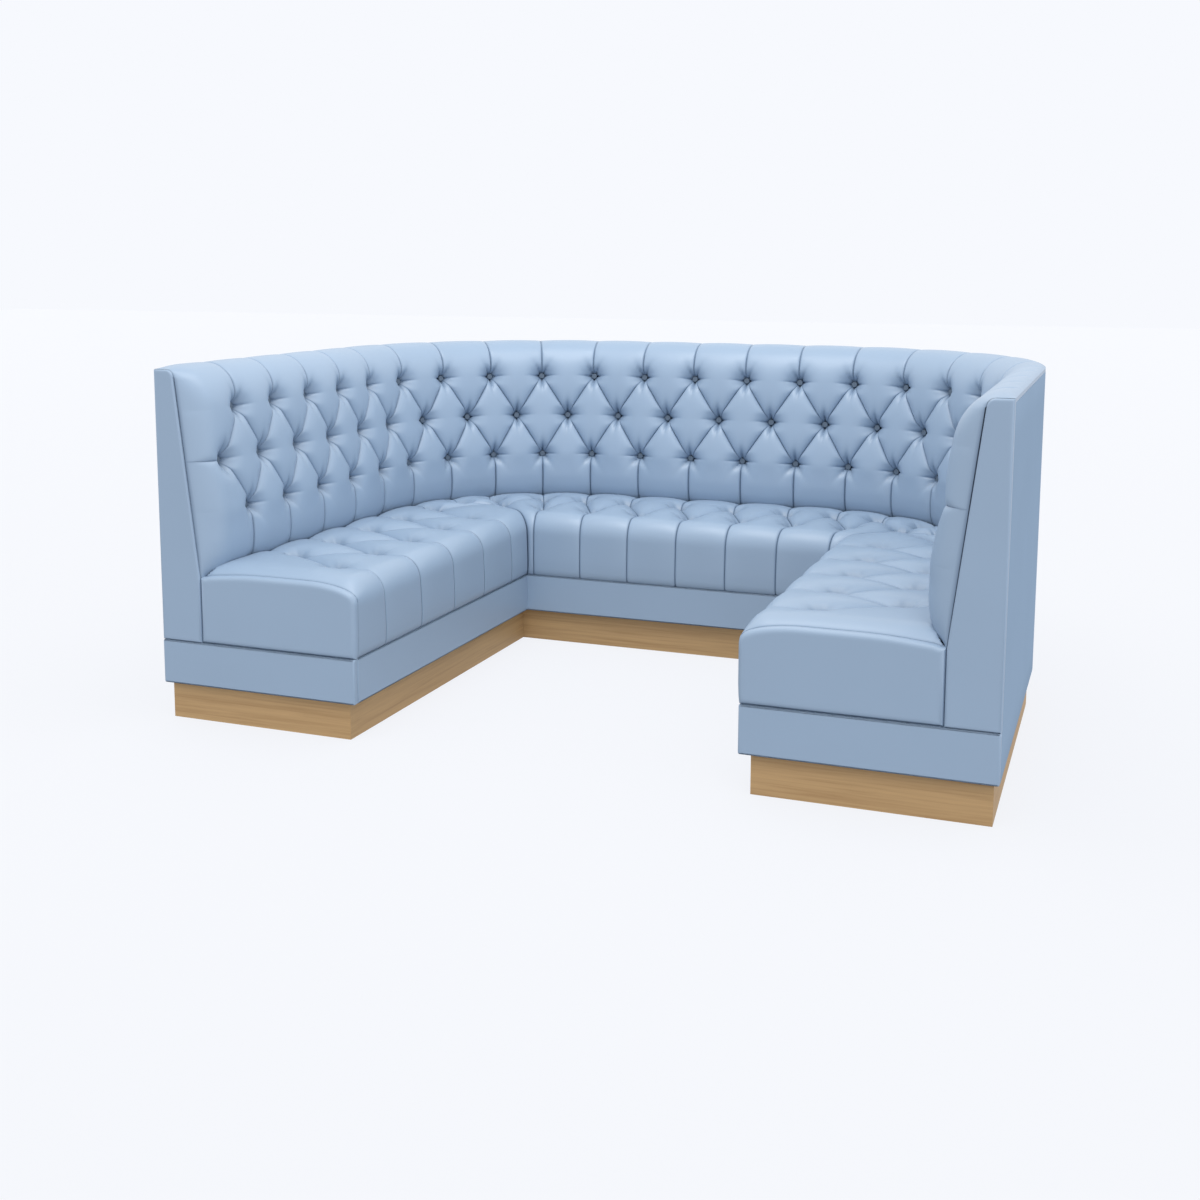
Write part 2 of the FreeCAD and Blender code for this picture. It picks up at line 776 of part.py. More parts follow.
def seat_pad(pleats, spine, open_end):
    """Tufted seat pad over pleats in plan; spine is the lines of its hidden side."""
    sections = []
    for pleat, crown, end, hidden in seat_sections():
        points = [on_pleat(each, pleat[0]) + Vec(0, 0, pleat[1]) for each in pleats]
        if open_end:
            points[0] = on_pleat(pleats[0], end[0]) + Vec(0, 0, end[1])
        ring_points = []
        for i in range(len(pleats) - 1):
            gap = on_pleat(pleats[i + 1], pleat[0]) - on_pleat(pleats[i], pleat[0])
            place, z = raised(gap.Length, pleat, crown)
            middle = (on_pleat(pleats[i], place) + on_pleat(pleats[i + 1], place)) / 2
            ring_points += bowed(points[i], middle + Vec(0, 0, z), points[i + 1])
        ring_points.append(points[-1])
        ring_points += [on_pleat(each, hidden[0]) + Vec(0, 0, hidden[1]) for each in reversed(spine)]
        sections.append(ring_points)
    return faceted_solid(sections)


# Tufted seat pads, mitred at the inner corners
def seat_pads():
    arm = arm_pleats()
    spine = [arm[0], straight_pleat(corner_y), mitre_pleat(1, front_row)]
    save_pair("seat_pad", seat_pad(arm, spine, True))
    turn = [Vec(corner_x, inner_y, 0), Vec(corner_x, inner_y + front_row, 0)] + rear_points(corner_x)
    mitre = mitre_pleat(-1, front_row)
    save("seat_pad_centre", seat_pad(centre_pleats(), [flipped(mitre), flipped(turn), turn, mitre], False))


# Smooth borders that close the front ends of the seat
def seat_ends():
    end = straight_pleat(-half_depth)
    profile = [on_pleat(end, place) + Vec(0, 0, z) for pleat, crown, (place, z), hidden in seat_sections()[:-1]]
    profile.append(Vec(profile[-1].x, -half_depth, profile[0].z))
    save_pair("seat_end", slab(profile, Vec(0, facing, 0)))


plinth()
bearers()
seat_box()
rails()
joining_plates()
back_ribs()
seat_ribs()
back_shell()
end_panels()
back_pads()
buttons()
seat_pads()
seat_ends()
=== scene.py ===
"""Dresses the U-shaped banquette: quilted pads, covered buttons, vinyl borders and oak."""
import json
import math

import bmesh
import bpy
import numpy as np
from bpy.props import FloatProperty, FloatVectorProperty, IntProperty, PointerProperty
from mathutils import Matrix, Vector


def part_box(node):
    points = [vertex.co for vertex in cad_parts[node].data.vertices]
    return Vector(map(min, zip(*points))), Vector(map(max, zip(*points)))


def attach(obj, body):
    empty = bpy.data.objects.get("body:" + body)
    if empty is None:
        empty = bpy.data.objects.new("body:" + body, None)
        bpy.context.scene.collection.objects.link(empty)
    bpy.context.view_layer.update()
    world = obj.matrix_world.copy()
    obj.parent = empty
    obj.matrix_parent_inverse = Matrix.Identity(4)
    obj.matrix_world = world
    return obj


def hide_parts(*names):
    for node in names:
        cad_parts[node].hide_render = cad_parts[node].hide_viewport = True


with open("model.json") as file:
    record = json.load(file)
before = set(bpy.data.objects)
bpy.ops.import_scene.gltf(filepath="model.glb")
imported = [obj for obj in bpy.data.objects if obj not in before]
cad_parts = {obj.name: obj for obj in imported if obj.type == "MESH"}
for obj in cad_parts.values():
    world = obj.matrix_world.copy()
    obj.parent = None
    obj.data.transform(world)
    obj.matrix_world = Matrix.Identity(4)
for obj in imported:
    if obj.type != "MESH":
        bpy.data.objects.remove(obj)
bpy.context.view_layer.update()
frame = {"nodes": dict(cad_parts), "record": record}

bl_info = {
    "name": "Banquette upholstery",
    "version": (1, 0, 0),
    "blender": (4, 5, 0),
    "location": "3D View > Sidebar > Banquette",
    "description": "Buttoned back, tufted seat, borders and oak plinth of a U-shaped banquette",
    "category": "Object",
}

# Clearances in metres: to a board, to the next cover, and at a pleat or the rim of a pad.
BOARD_GAP = 0.0004
COVER_GAP = 0.0003
PLEAT_GAP = 0.0006
# How far the buttons of each row stand in front of the end panels' line.
ROW_REACH = (0.030, 0.023, 0.021)
# Colour of the backdrop, and of the floor's glow that meets it without an edge.
PALE = (0.930, 0.947, 0.991, 1.0)


def metres(name, value, description):
    return FloatProperty(name=name, description=description, default=value, unit="LENGTH",
                         precision=4)


def number(name, value, description):
    return IntProperty(name=name, description=description, default=value)


def tint(name, value, description):
    return FloatVectorProperty(name=name, description=description, default=value, size=3,
                               subtype="COLOR")


class BanquetteSizes(bpy.types.PropertyGroup):
    """Sizes of the covers, taken from the frame wherever a node has them."""

    half_width: metres("Half width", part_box("outside_back_right")[1][0], "Middle to the outer side")
    half_depth: metres("Half depth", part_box("outside_back_centre")[1][1], "Middle to the rear face")
    inner_x: metres("Inner side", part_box("rail_inner_right")[0][0], "Middle to an arm's inner rail")
    inner_y: metres("Inner rear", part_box("rail_centre")[0][1], "Middle to the centre's inner rail")
    rail_low: metres("Rail foot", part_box("rail_centre")[0][2], "Underside of the rails")
    rail_top: metres("Rail top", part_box("rail_centre")[1][2], "Top of the rails")
    deck_top: metres("Deck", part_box("seat_deck_centre")[1][2], "Top of the seat decks")
    facing: metres("Facing", 0.020, "Thickness of rails and end panels")
    corner_radius: metres("Corner radius", 0.828, "Outside radius of the two corners")
    panel_foot: metres("Panel foot", 0.138, "Width of an end panel at the seat")
    panel_top: metres("Panel top", 0.066, "Width of an end panel at the top")
    panel_corner: metres("Panel corner", 0.022, "Radius at the inner top of an end panel")
    back_top: metres("Back top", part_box("end_panel_right")[1][2], "Top of the end panels")
    frame_top: metres("Frame top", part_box("outside_back_centre")[1][2], "Top of the outside panels")
    seat_line: metres("Seat line", 0.444, "Height of the seat where the back stands on it")
    low_row: metres("Low row", 0.636, "Height of the low row of buttons")
    row_spacing: metres("Row spacing", 0.152, "From one row of buttons to the next")
    back_crown: metres("Back crown", 0.051, "Depth of a button below the cells")
    back_pleat: metres("Back pleat", 0.021, "Depth of a pleat below the cells")
    top_pleat: metres("Top pleat", 0.006, "Depth of the pleats over the top")
    button_width: metres("Button width", 0.022, "Width of a covered button")
    seat_crown: metres("Seat crown", 0.041, "Rise of the seat cells over the seat line")
    seat_dimple: metres("Seat dimple", 0.064, "Depth of a tuft below the seat cells")
    seat_pleat: metres("Seat pleat", 0.032, "Depth of a pleat below the seat cells")
    front_seam: metres("Front seam", 0.011, "Depth of the channels down the seat front")
    bulge: metres("Bulge", 0.006, "How far the seat front stands over the rails")
    front_row: metres("Front row", 0.1645, "Rail face to the front tufts")
    rear_row: metres("Rear row", 0.2895, "Outer face to the rear tufts")
    corner_row: metres("Corner row", 0.232, "Outer face to the rear tufts in a corner")
    corner_tuft: metres("Corner tuft", 0.185, "Inner corner to the tuft on a mitre, along x and y")
    first_channel: metres("First channel", 0.183, "Front of an arm to its first channel")
    last_channel: metres("Last channel", 0.145, "Last channel of an arm to the inner corner")
    side_channel: metres("Side channel", 0.025, "Outer channels of the centre to the inner corners")
    foot_reach: metres("Foot reach", 0.0323, "How far the back stands over the seat")
    overlap: metres("Overlap", 0.013, "How far a back pad runs forward beside an end panel")
    border_drop: metres("Border drop", 0.023, "Seat cells to the top of the borders")
    border_curve: metres("Border curve", 0.045, "Height of the curve at the front of a border")
    half_bays: number("Half bays", 12, "Bays from the middle to an end")
    joint_bay: number("Joint bay", 5, "Bay where the back pads meet")
    arm_seams: number("Arm seams", 5, "Channels on the front of an arm")
    centre_seams: number("Centre seams", 7, "Channels on the front of the centre")
    cell_columns: number("Cell columns", 24, "Faces across one cell")


class BanquetteFinish(bpy.types.PropertyGroup):
    """Colours of the covers, the plinth and the floor."""

    vinyl: tint("Vinyl", (0.264, 0.358, 0.484), "Colour of the covers")
    # Painted shade: the dark colour mixed into the covers deep in the pleats, creases and pits.
    vinyl_fold_shade: tint("Vinyl folds", (0.045, 0.085, 0.160), "Colour deep in the pleats")
    oak: tint("Oak", (0.440, 0.285, 0.137), "Colour of the plinth")
    oak_grain: tint("Oak grain", (0.350, 0.213, 0.096), "Colour of the grain in the oak")
    floor: tint("Floor", (0.070, 0.072, 0.075), "Colour of the floor")


# Shape helpers.


def smooth(low, high, value):
    """Soft step from 0 at low to 1 at high."""
    share = np.clip((value - low) / (high - low), 0.0, 1.0)
    return share * share * (3 - 2 * share)


class BackLine:
    """Line of the middle buttons in plan; a run along it and an inset give a place."""

    def __init__(self, size):
        self.size = size
        self.corner_x = size.half_width - size.corner_radius
        self.corner_y = size.half_depth - size.corner_radius
        self.bend_radius = size.corner_radius - self.row_inset(1)
        self.bend = self.bend_radius * math.pi / 2
        self.mitre = self.corner_x + self.bend / 2
        self.front = self.corner_x + self.bend + self.corner_y + size.half_depth - size.facing
        self.pitch = self.front / (size.half_bays + 0.5)

    def panel_inset(self, z):
        size = self.size
        lean = (size.panel_foot - size.panel_top) / (size.back_top - size.seat_line)
        return size.panel_foot - lean * np.maximum(0.0, z - size.seat_line)

    def row_height(self, row):
        return self.size.low_row + self.size.row_spacing * row

    def row_inset(self, row):
        return float(self.panel_inset(self.row_height(row))) + ROW_REACH[row]

    def place(self, run, inset):
        """Place in plan for a run from the middle and an inset from the outer face."""
        distance = np.abs(run)
        turn = np.clip((distance - self.corner_x) / self.bend_radius, 0.0, math.pi / 2)
        radius = self.size.corner_radius - inset
        beyond = np.maximum(0.0, distance - self.corner_x - self.bend)
        x = np.minimum(distance, self.corner_x) + radius * np.sin(turn)
        y = self.corner_y + radius * np.cos(turn) - beyond
        return np.where(run < 0, -x, x), y


def placed(name, data):
    """Object in the scene for a mesh, a lamp or a camera."""
    piece = bpy.data.objects.new(name, data)
    bpy.context.collection.objects.link(piece)
    return piece


def made(name, bm, sharp=50):
    """Object at the origin from a bmesh, smooth but for its sharp edges."""
    mesh = bpy.data.meshes.new(name)
    bm.to_mesh(mesh)
    bm.free()
    mesh.shade_smooth()
    mesh.set_sharp_from_angle(angle=math.radians(sharp))
    return placed(name, mesh)


def woven(name, place, fold_shades=None):
    """Grid of quads placed by arrays, welded to a closed form with capped ends."""
    rows, columns = place.shape[0] - 1, place.shape[1] - 1
    bm = bmesh.new()
    bmesh.ops.create_grid(bm, x_segments=columns, y_segments=rows, size=0.5)
    grid = bpy.data.meshes.new("grid")
    bm.to_mesh(grid)
    flat = np.empty(len(grid.vertices) * 3)
    grid.vertices.foreach_get("co", flat)
    flat = flat.reshape(-1, 3)
    across = np.rint((flat[:, 0] - flat[:, 0].min()) / np.ptp(flat[:, 0]) * columns).astype(int)
    up = np.rint((flat[:, 1] - flat[:, 1].min()) / np.ptp(flat[:, 1]) * rows).astype(int)
    grid.vertices.foreach_set("co", place[up, across].astype(np.float32).ravel())
    # The fold attribute carries how much painted shade goes into the colour of the cover.
    if fold_shades is not None:
        layer = grid.attributes.new("fold", "FLOAT", "POINT")
        layer.data.foreach_set("value", fold_shades[up, across].astype(np.float32))
    bm.clear()
    bm.from_mesh(grid)
    bpy.data.meshes.remove(grid)
    bmesh.ops.remove_doubles(bm, verts=bm.verts, dist=0.00001)
    bmesh.ops.holes_fill(bm, edges=[edge for edge in bm.edges if edge.is_boundary], sides=0)
    bmesh.ops.recalc_face_normals(bm, faces=bm.faces)
    return made(name, bm)


def dressed(piece, material, node):
    """Gives a covered piece its finish and its body, and hides the node that it stands for."""
    piece.data.materials.append(material)
    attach(piece, "root")
    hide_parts(node)


def pads(kind, node, arm, centre):
    """Dressed pads of the arms and the centre; the left arm's is the right one's mirror image."""
    cover = finished("quilted vinyl", vinyl)
    left = arm[0] * np.array([-1.0, 1.0, 1.0]), arm[1]
    pieces = []
    for side, (place, fold) in (("right", arm), ("centre", centre), ("left", left)):
        pieces.append(woven(kind + node + side, place, fold))
        dressed(pieces[-1], cover, node + side)
    return pieces


def closed(place, fold, hidden):
    """Places and painted fold shade of a cover and its hidden rows, joined round to one loop."""
    return (np.concatenate([place, hidden, place[:1]]),
            np.concatenate([fold, np.zeros(hidden.shape[:2]), fold[:1]]))


def graded(start, end, count, near_start, near_end):
    """Stations from start up to end, closer together at the ends that are near something."""
    share = np.linspace(0.0, 1.0, count, endpoint=False)
    if near_start and near_end:
        share = (1 - np.cos(np.pi * share)) / 2
    elif near_start:
        share = 1 - np.cos(np.pi / 2 * share)
    elif near_end:
        share = np.sin(np.pi / 2 * share)
    return start + (end - start) * share


def arc(centre, radii, start, end, count):
    """Points on an ellipse from one angle to another, without the first."""
    turns = np.linspace(start, end, count)[1:]
    return [(centre[0] + radii[0] * math.cos(turn), centre[1] + radii[1] * math.sin(turn))
            for turn in turns]


class Sweep:
    """Smooth path of a cover in section, with the length along it and its outward normals."""

    def __init__(self, points, blur=0.012, step=0.0015):
        points = np.array(points)
        length = np.concatenate([[0], np.cumsum(np.hypot(*np.diff(points, axis=0).T))])
        self.length = np.arange(0, length[-1], step)
        path = np.stack([np.interp(self.length, length, points[:, i]) for i in (0, 1)], 1)
        width = max(1, round(blur / step))
        kernel = np.hanning(2 * width + 3)[1:-1]
        kernel /= kernel.sum()
        before, after = 2 * path[0] - path[width:0:-1], 2 * path[-1] - path[-2:-width - 2:-1]
        padded = np.concatenate([before, path, after])
        self.path = np.stack([np.convolve(padded[:, i], kernel, "valid") for i in (0, 1)], 1)
        tangent = np.gradient(self.path, axis=0)
        tangent /= np.linalg.norm(tangent, axis=1)[:, None]
        self.normal = np.stack([tangent[:, 1], -tangent[:, 0]], 1)

    def at(self, where):
        """Place and normal at lengths along the path, each as two lists."""
        return [np.interp(where, self.length, table[:, i])
                for table in (self.path, self.normal) for i in (0, 1)]

    def reach(self, height):
        """Length along the path at which it first gets to a height."""
        return float(self.length[np.argmax(self.path[:, 1] >= height)])


def rounded(share, fullness=0.66):
    """Height of a padded cell, from 0 at its crease up to 1 where it is full."""
    return (1 - (1 - np.clip(share, 0, 1)) ** 2) ** fullness


def pillow(share, opening):
    """Height across a cell, 0 at its pleats and 1 at its crest.

    opening is the cell's width as a share of its full width. The cell is a diamond where this
    goes to 0 at a button, and a band where it stays at 1.
    """
    across = (2 * share - 1) * opening
    one, other = 1 - (across + 1 - opening) ** 2, 1 - (across - 1 + opening) ** 2
    return np.clip(2 * one * other / np.maximum(one + other, 1e-6), 0, 1)


def bell(distance, width):
    """Soft spot: 1 in its middle, and fading out over a width."""
    return np.exp(-(distance / width) ** 2)


def pit_depth(distance, floor, reach, power):
    """Depth of a pit round a button or tuft, 1 on its floor and 0 past its reach."""
    return (1 - np.clip((distance - floor) / reach, 0, 1)) ** power


def deeper(first, second, blend=0.002):
    """The deeper of two hollows, with a soft join between them."""
    return (first + second + np.hypot(first - second, blend) - blend) / 2


def creases(step, rise, distance, angles):
    """Short creases that run out from a button or tuft at angles from its level."""
    heading = np.arctan2(rise, np.abs(step))
    width = 0.0022 + 0.075 * distance
    fans = 0.0
    for angle in angles:
        length = np.where(angle == 0, 0.0105, 0.0155)
        fans = fans + (bell((heading - angle) * distance, width)
                       * distance / length * np.exp(1 - distance / length))
    return fans


# The buttoned back.


class BackQuilt:
    """Surface of the buttoned back over run and length up the cover."""

    def __init__(self, size):
        self.size = size
        self.line = BackLine(size)
        low, middle, top = (self.line.row_inset(row) + size.back_crown for row in range(3))
        foot = size.seat_line + PLEAT_GAP
        top_z = self.line.row_height(2)
        summit = size.panel_top / 2
        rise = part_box("back_pad_centre")[1][2] - top_z
        # The belly of the back under the low row, as insets and heights.
        path = [(0.156, foot), (0.178, foot + 0.022), (0.192, foot + 0.060), (0.197, foot + 0.105),
                (0.196, foot + 0.150)]
        path += [(low, self.line.row_height(0)), (middle, self.line.row_height(1))]
        tilt, quarter = 0.15, math.pi / 2
        wide, high = (top - summit) / math.cos(tilt), rise / (1 - math.sin(tilt))
        path.append((top, top_z))
        path += arc((summit, top_z + rise - high), (wide, high), tilt, quarter, 24)
        path += arc((summit, size.back_top), (summit, top_z + rise - size.back_top), quarter,
                    math.pi, 12)
        self.sweep = Sweep(path, blur=0.024)
        self.rows = [self.sweep.reach(self.line.row_height(row)) for row in range(3)]
        self.summit = float(self.sweep.length[np.argmax(self.sweep.path[:, 1])])
        self.end = float(self.sweep.length[-1])

    def stations(self):
        """Lengths up the cover of the rows of faces, closer together at the buttons."""
        low, middle, top = self.rows
        return np.concatenate([
            graded(0, low, 30, False, True), graded(low, middle, 34, True, True),
            graded(middle, top, 34, True, True), graded(top, self.summit, 30, True, False),
            graded(self.summit, self.end, 10, False, False), [self.end]])

    def opening(self, up):
        """Half the width, in bays, of the cells that open up over the low row."""
        low, middle, top = self.rows
        share = (np.clip((up - low) / (middle - low), 0, 1)
                 - np.clip((up - middle) / (top - middle), 0, 1))
        narrow = 0.0012 / self.line.pitch
        return np.clip(share / 2, narrow, 0.5 - narrow)

    def runs(self, first, last, up):
        """Pleats between two bays, as runs for each row of faces."""
        half = self.opening(up)[:, None]
        bays = np.arange(first, last + 0.5, 1.0)[None, :]
        both = np.stack([bays - half, bays + half], 2)
        return both.reshape(len(up), -1) * self.line.pitch

    def nearest(self, run, up):
        """Steps along and up from the nearest button, its distance and its row."""
        steps, rises = [], []
        for row, level in enumerate(self.rows):
            shift = 0.0 if row == 1 else 0.5
            limit = self.size.half_bays - shift
            bay = np.clip(np.rint(run / self.line.pitch - shift) + shift, -limit, limit)
            steps.append(run - bay * self.line.pitch)
            rises.append(up - level)
        distances = np.hypot(steps, rises)
        row = distances.argmin(axis=0)
        return np.choose(row, steps), np.choose(row, rises), distances.min(axis=0), row

    def depth(self, pleats, up, share, cell):
        """Depth below the cover's path at a share across a cell, and how much painted shade its
        colour gets in the folds.
        """
        size = self.size
        left, right = pleats[:, cell][:, None], pleats[:, cell + 1][:, None]
        span = right - left
        run = left + span * share
        up = up[:, None] + 0 * run
        step, rise, distance, row = self.nearest(run, up)
        low, top = self.rows[0], self.rows[2]
        fade = 1 - smooth(self.summit, self.end - 0.004, up)
        base = size.back_pleat - 0.008 * smooth(low, 0, up)
        base = base + (size.top_pleat - base) * smooth(top, top + 0.6 * (self.summit - top), up)
        pleat = base * (1 - pillow(share, span / self.line.pitch) ** 0.8)
        pit = size.back_crown * pit_depth(distance, 0.010, 0.092, 2.7)
        angles = np.radians([(90, 0, -50), (90, 0, -90), (63, 0, -90)])[row]
        fan = creases(step, rise, distance, np.moveaxis(angles, -1, 0))
        edge = np.minimum(share, 1 - share) * span
        groove = 0.0032 * np.exp(-edge / 0.0016) * (1 - bell(distance, 0.013))
        depth = (deeper(pleat, pit, 0.006) + 0.0125 * fan + groove) * fade
        # Painted shade: the fold mask darkens the pleat lines, round each button, along the creases
        # and towards the foot of the back.
        line = (0.80 - 0.45 * smooth(top, self.summit, up)) * np.exp(-edge / 0.0011)
        pit_shade = np.exp(-(distance / 0.0150) ** 4) + 0.32 * bell(distance, 0.032)
        shade = 0.16 * smooth(0.11, 0.0, up)
        fold = np.maximum.reduce([line, pit_shade, 0.46 * fan, shade]) * fade
        return run, up, depth, fold

    def surface(self, pleats, up, arm_end):
        """Places and painted fold shade of the whole cover between the first pleat and the last."""
        size, line = self.size, self.line
        share = graded(0, 1, size.cell_columns, True, True)[None, :]
        cells = [self.depth(pleats, up, share, cell) for cell in range(pleats.shape[1] - 1)]
        last = self.depth(pleats, up, np.array([[1.0]]), pleats.shape[1] - 2)
        run, rows, depth, fold = (np.concatenate(parts, 1) for parts in zip(*cells, last))
        inset, z, inset_normal, z_normal = self.sweep.at(rows)
        if arm_end:
            close = line.front + size.overlap - np.abs(run)
            level = np.abs(rows - self.rows[1])
            beyond = smooth(-0.002, 0.012, np.abs(run) - size.half_bays * line.pitch)
            depth = deeper(depth, 0.013 * (1 - rounded(level / 0.045)) * beyond)
            # Painted shade along the crease beside the end panel.
            fold = np.maximum(fold, beyond * np.exp(-level / 0.0018) * 0.6)
        inset = inset - inset_normal * depth
        z = z - z_normal * depth
        if arm_end:
            weight = 1 - rounded(close / 0.080)
            rim_inset, rim_z = self.rim(*self.sweep.at(rows)[:2])
            inset = inset + (rim_inset - inset) * weight
            z = z + (rim_z - z) * weight
            run = np.concatenate([run, run[:, -1:] - size.overlap - COVER_GAP], 1)
            inset, z, fold = (np.concatenate([table, table[:, -1:]], 1)
                              for table in (inset, z, fold))
        x, y = line.place(run, inset)
        return np.stack([x, y, z], 2), fold, run

    def rim(self, inset, z):
        """Place beside the end panel's rim that is next to a place on the cover."""
        size = self.size
        level, height = size.panel_top - size.panel_corner, size.back_top - size.panel_corner
        reach = np.maximum(np.hypot(inset - level, z - height), 1e-6)
        share = size.panel_corner / reach
        corner = (inset > level) & (z > height)
        rim_inset = np.where(z <= height, self.line.panel_inset(z), np.minimum(inset, level))
        rim_z = np.minimum(z, size.back_top)
        rim_inset = np.where(corner, level + (inset - level) * share, rim_inset)
        rim_z = np.where(corner, height + (z - height) * share, rim_z)
        return rim_inset + PLEAT_GAP, np.where(z > height, rim_z + PLEAT_GAP, rim_z)

    def hidden(self, run, foot):
        """Rows of faces behind the cover, from the outer hem down to the foot."""
        size, line = self.size, self.line
        board, top = size.panel_foot - 0.0097, size.frame_top + BOARD_GAP
        path = [(COVER_GAP, top), (0.030, top), (0.0578, top), (board, foot), (board + 0.016, foot)]
        rows = []
        for inset, z in path:
            x, y = line.place(np.minimum(run, line.front - COVER_GAP), inset)
            rows.append(np.stack([x, y, np.full_like(x, z)], 1))
        return np.stack(rows)

    def pad(self, first, last, arm_end):
        """Closed pad between two bays, on the right arm or in the centre."""
        size = self.size
        up = self.stations()
        pleats = self.runs(first, last, up)
        trim = 0.0002
        if arm_end:
            end = np.full((len(up), 1), self.line.front + size.overlap)
            pleats = np.concatenate([pleats[:, 1:], end], 1)
        else:
            pleats[:, -1] -= trim
        pleats[:, 0] += trim
        place, fold, run = self.surface(pleats, up, arm_end)
        back = self.hidden(run[0], size.seat_line + BOARD_GAP)
        return closed(place, fold, back)


class BANQUETTE_OT_back_pads(bpy.types.Operator):
    """Buttoned pads of the back"""

    bl_idname = "banquette.back_pads"
    bl_label = "Back pads"

    def execute(self, context):
        size = context.scene.banquette_sizes
        quilt = BackQuilt(size)
        joint = size.joint_bay - 0.5
        arm = quilt.pad(joint, size.half_bays - 0.5, True)
        for piece in pads("quilted_", "back_pad_", arm, quilt.pad(-joint, joint, False)):
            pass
        return {"FINISHED"}


class BANQUETTE_OT_buttons(bpy.types.Operator):
    """Covered buttons in their three rows"""

    bl_idname = "banquette.buttons"
    bl_label = "Buttons"

    def execute(self, context):
        size = context.scene.banquette_sizes
        quilt = BackQuilt(size)
        line = quilt.line
        # Painted shade: the buttons' vinyl is darkened to stand for the shade of the pits that they
        # sit in.
        cover = finished("shaded button vinyl", vinyl, 0.6, 0.42, 0.15)
        for row in range(3):
            inset, z, inset_normal, z_normal = quilt.sweep.at(quilt.rows[row])
            seat = 0.0034 - size.back_crown
            inset, z = inset + inset_normal * seat, z + z_normal * seat
            lean = math.atan2(z_normal, inset_normal)
            bm = bmesh.new()
            count = 2 * size.half_bays + (1 if row == 1 else 0)
            for i in range(count):
                run = np.array((i - (count - 1) / 2) * line.pitch)
                x, y = line.place(run, inset)
                inner_x, inner_y = line.place(run, inset + 0.01)
                heading = math.atan2(inner_y - y, inner_x - x)
                add_button(bm, size.button_width / 2, (x, y, z), heading, lean)
            name = "buttons_row_" + str(row + 1)
            dressed(made("covered_" + name, bm), cover, name)
        return {"FINISHED"}


def add_button(bm, radius, place, heading, lean):
    """One domed button with a rolled rim, turned to face the seat."""
    start = len(bm.verts)
    disc = bmesh.ops.create_circle(bm, cap_ends=True, radius=radius * 0.62, segments=20)
    face = disc["verts"][0].link_faces[0]
    for scale, rise in ((0.97, 0.0020), (1.00, 0.0014), (0.96, 0.0014), (0.85, 0.0009),
                        (0.66, 0.0002), (0.30, 0.0001)):
        face = bmesh.ops.extrude_discrete_faces(bm, faces=[face])["faces"][0]
        current = max(vert.co.xy.length for vert in face.verts)
        for vert in face.verts:
            vert.co.x *= radius * scale / current
            vert.co.y *= radius * scale / current
            vert.co.z += rise
    turn = Matrix.Rotation(heading, 4, "Z") @ Matrix.Rotation(math.pi / 2 - lean, 4, "Y")
    bm.verts.ensure_lookup_table()
    bmesh.ops.transform(bm, matrix=Matrix.Translation(Vector(place)) @ turn,
                        verts=bm.verts[start:])


# The tufted seat.


def on_pleat(pleat, place):
    """Places in plan along a pleat, for numbers from 0 at the rail face to 4 at the far end.

    1 and 2 are the tufts, and 3 is where the back stands on the seat.
    """
    low = np.clip(np.floor(place), 0, 3).astype(int)
    part = (place - low)[..., None]
    return pleat[low] * (1 - part) + pleat[low + 1] * part


def between(first, last, place, share):
    """Places in plan at a share of the way from one pleat to the next."""
    first, last = on_pleat(first, place), on_pleat(last, place)
    return first * (1 - share[..., None]) + last * share[..., None]


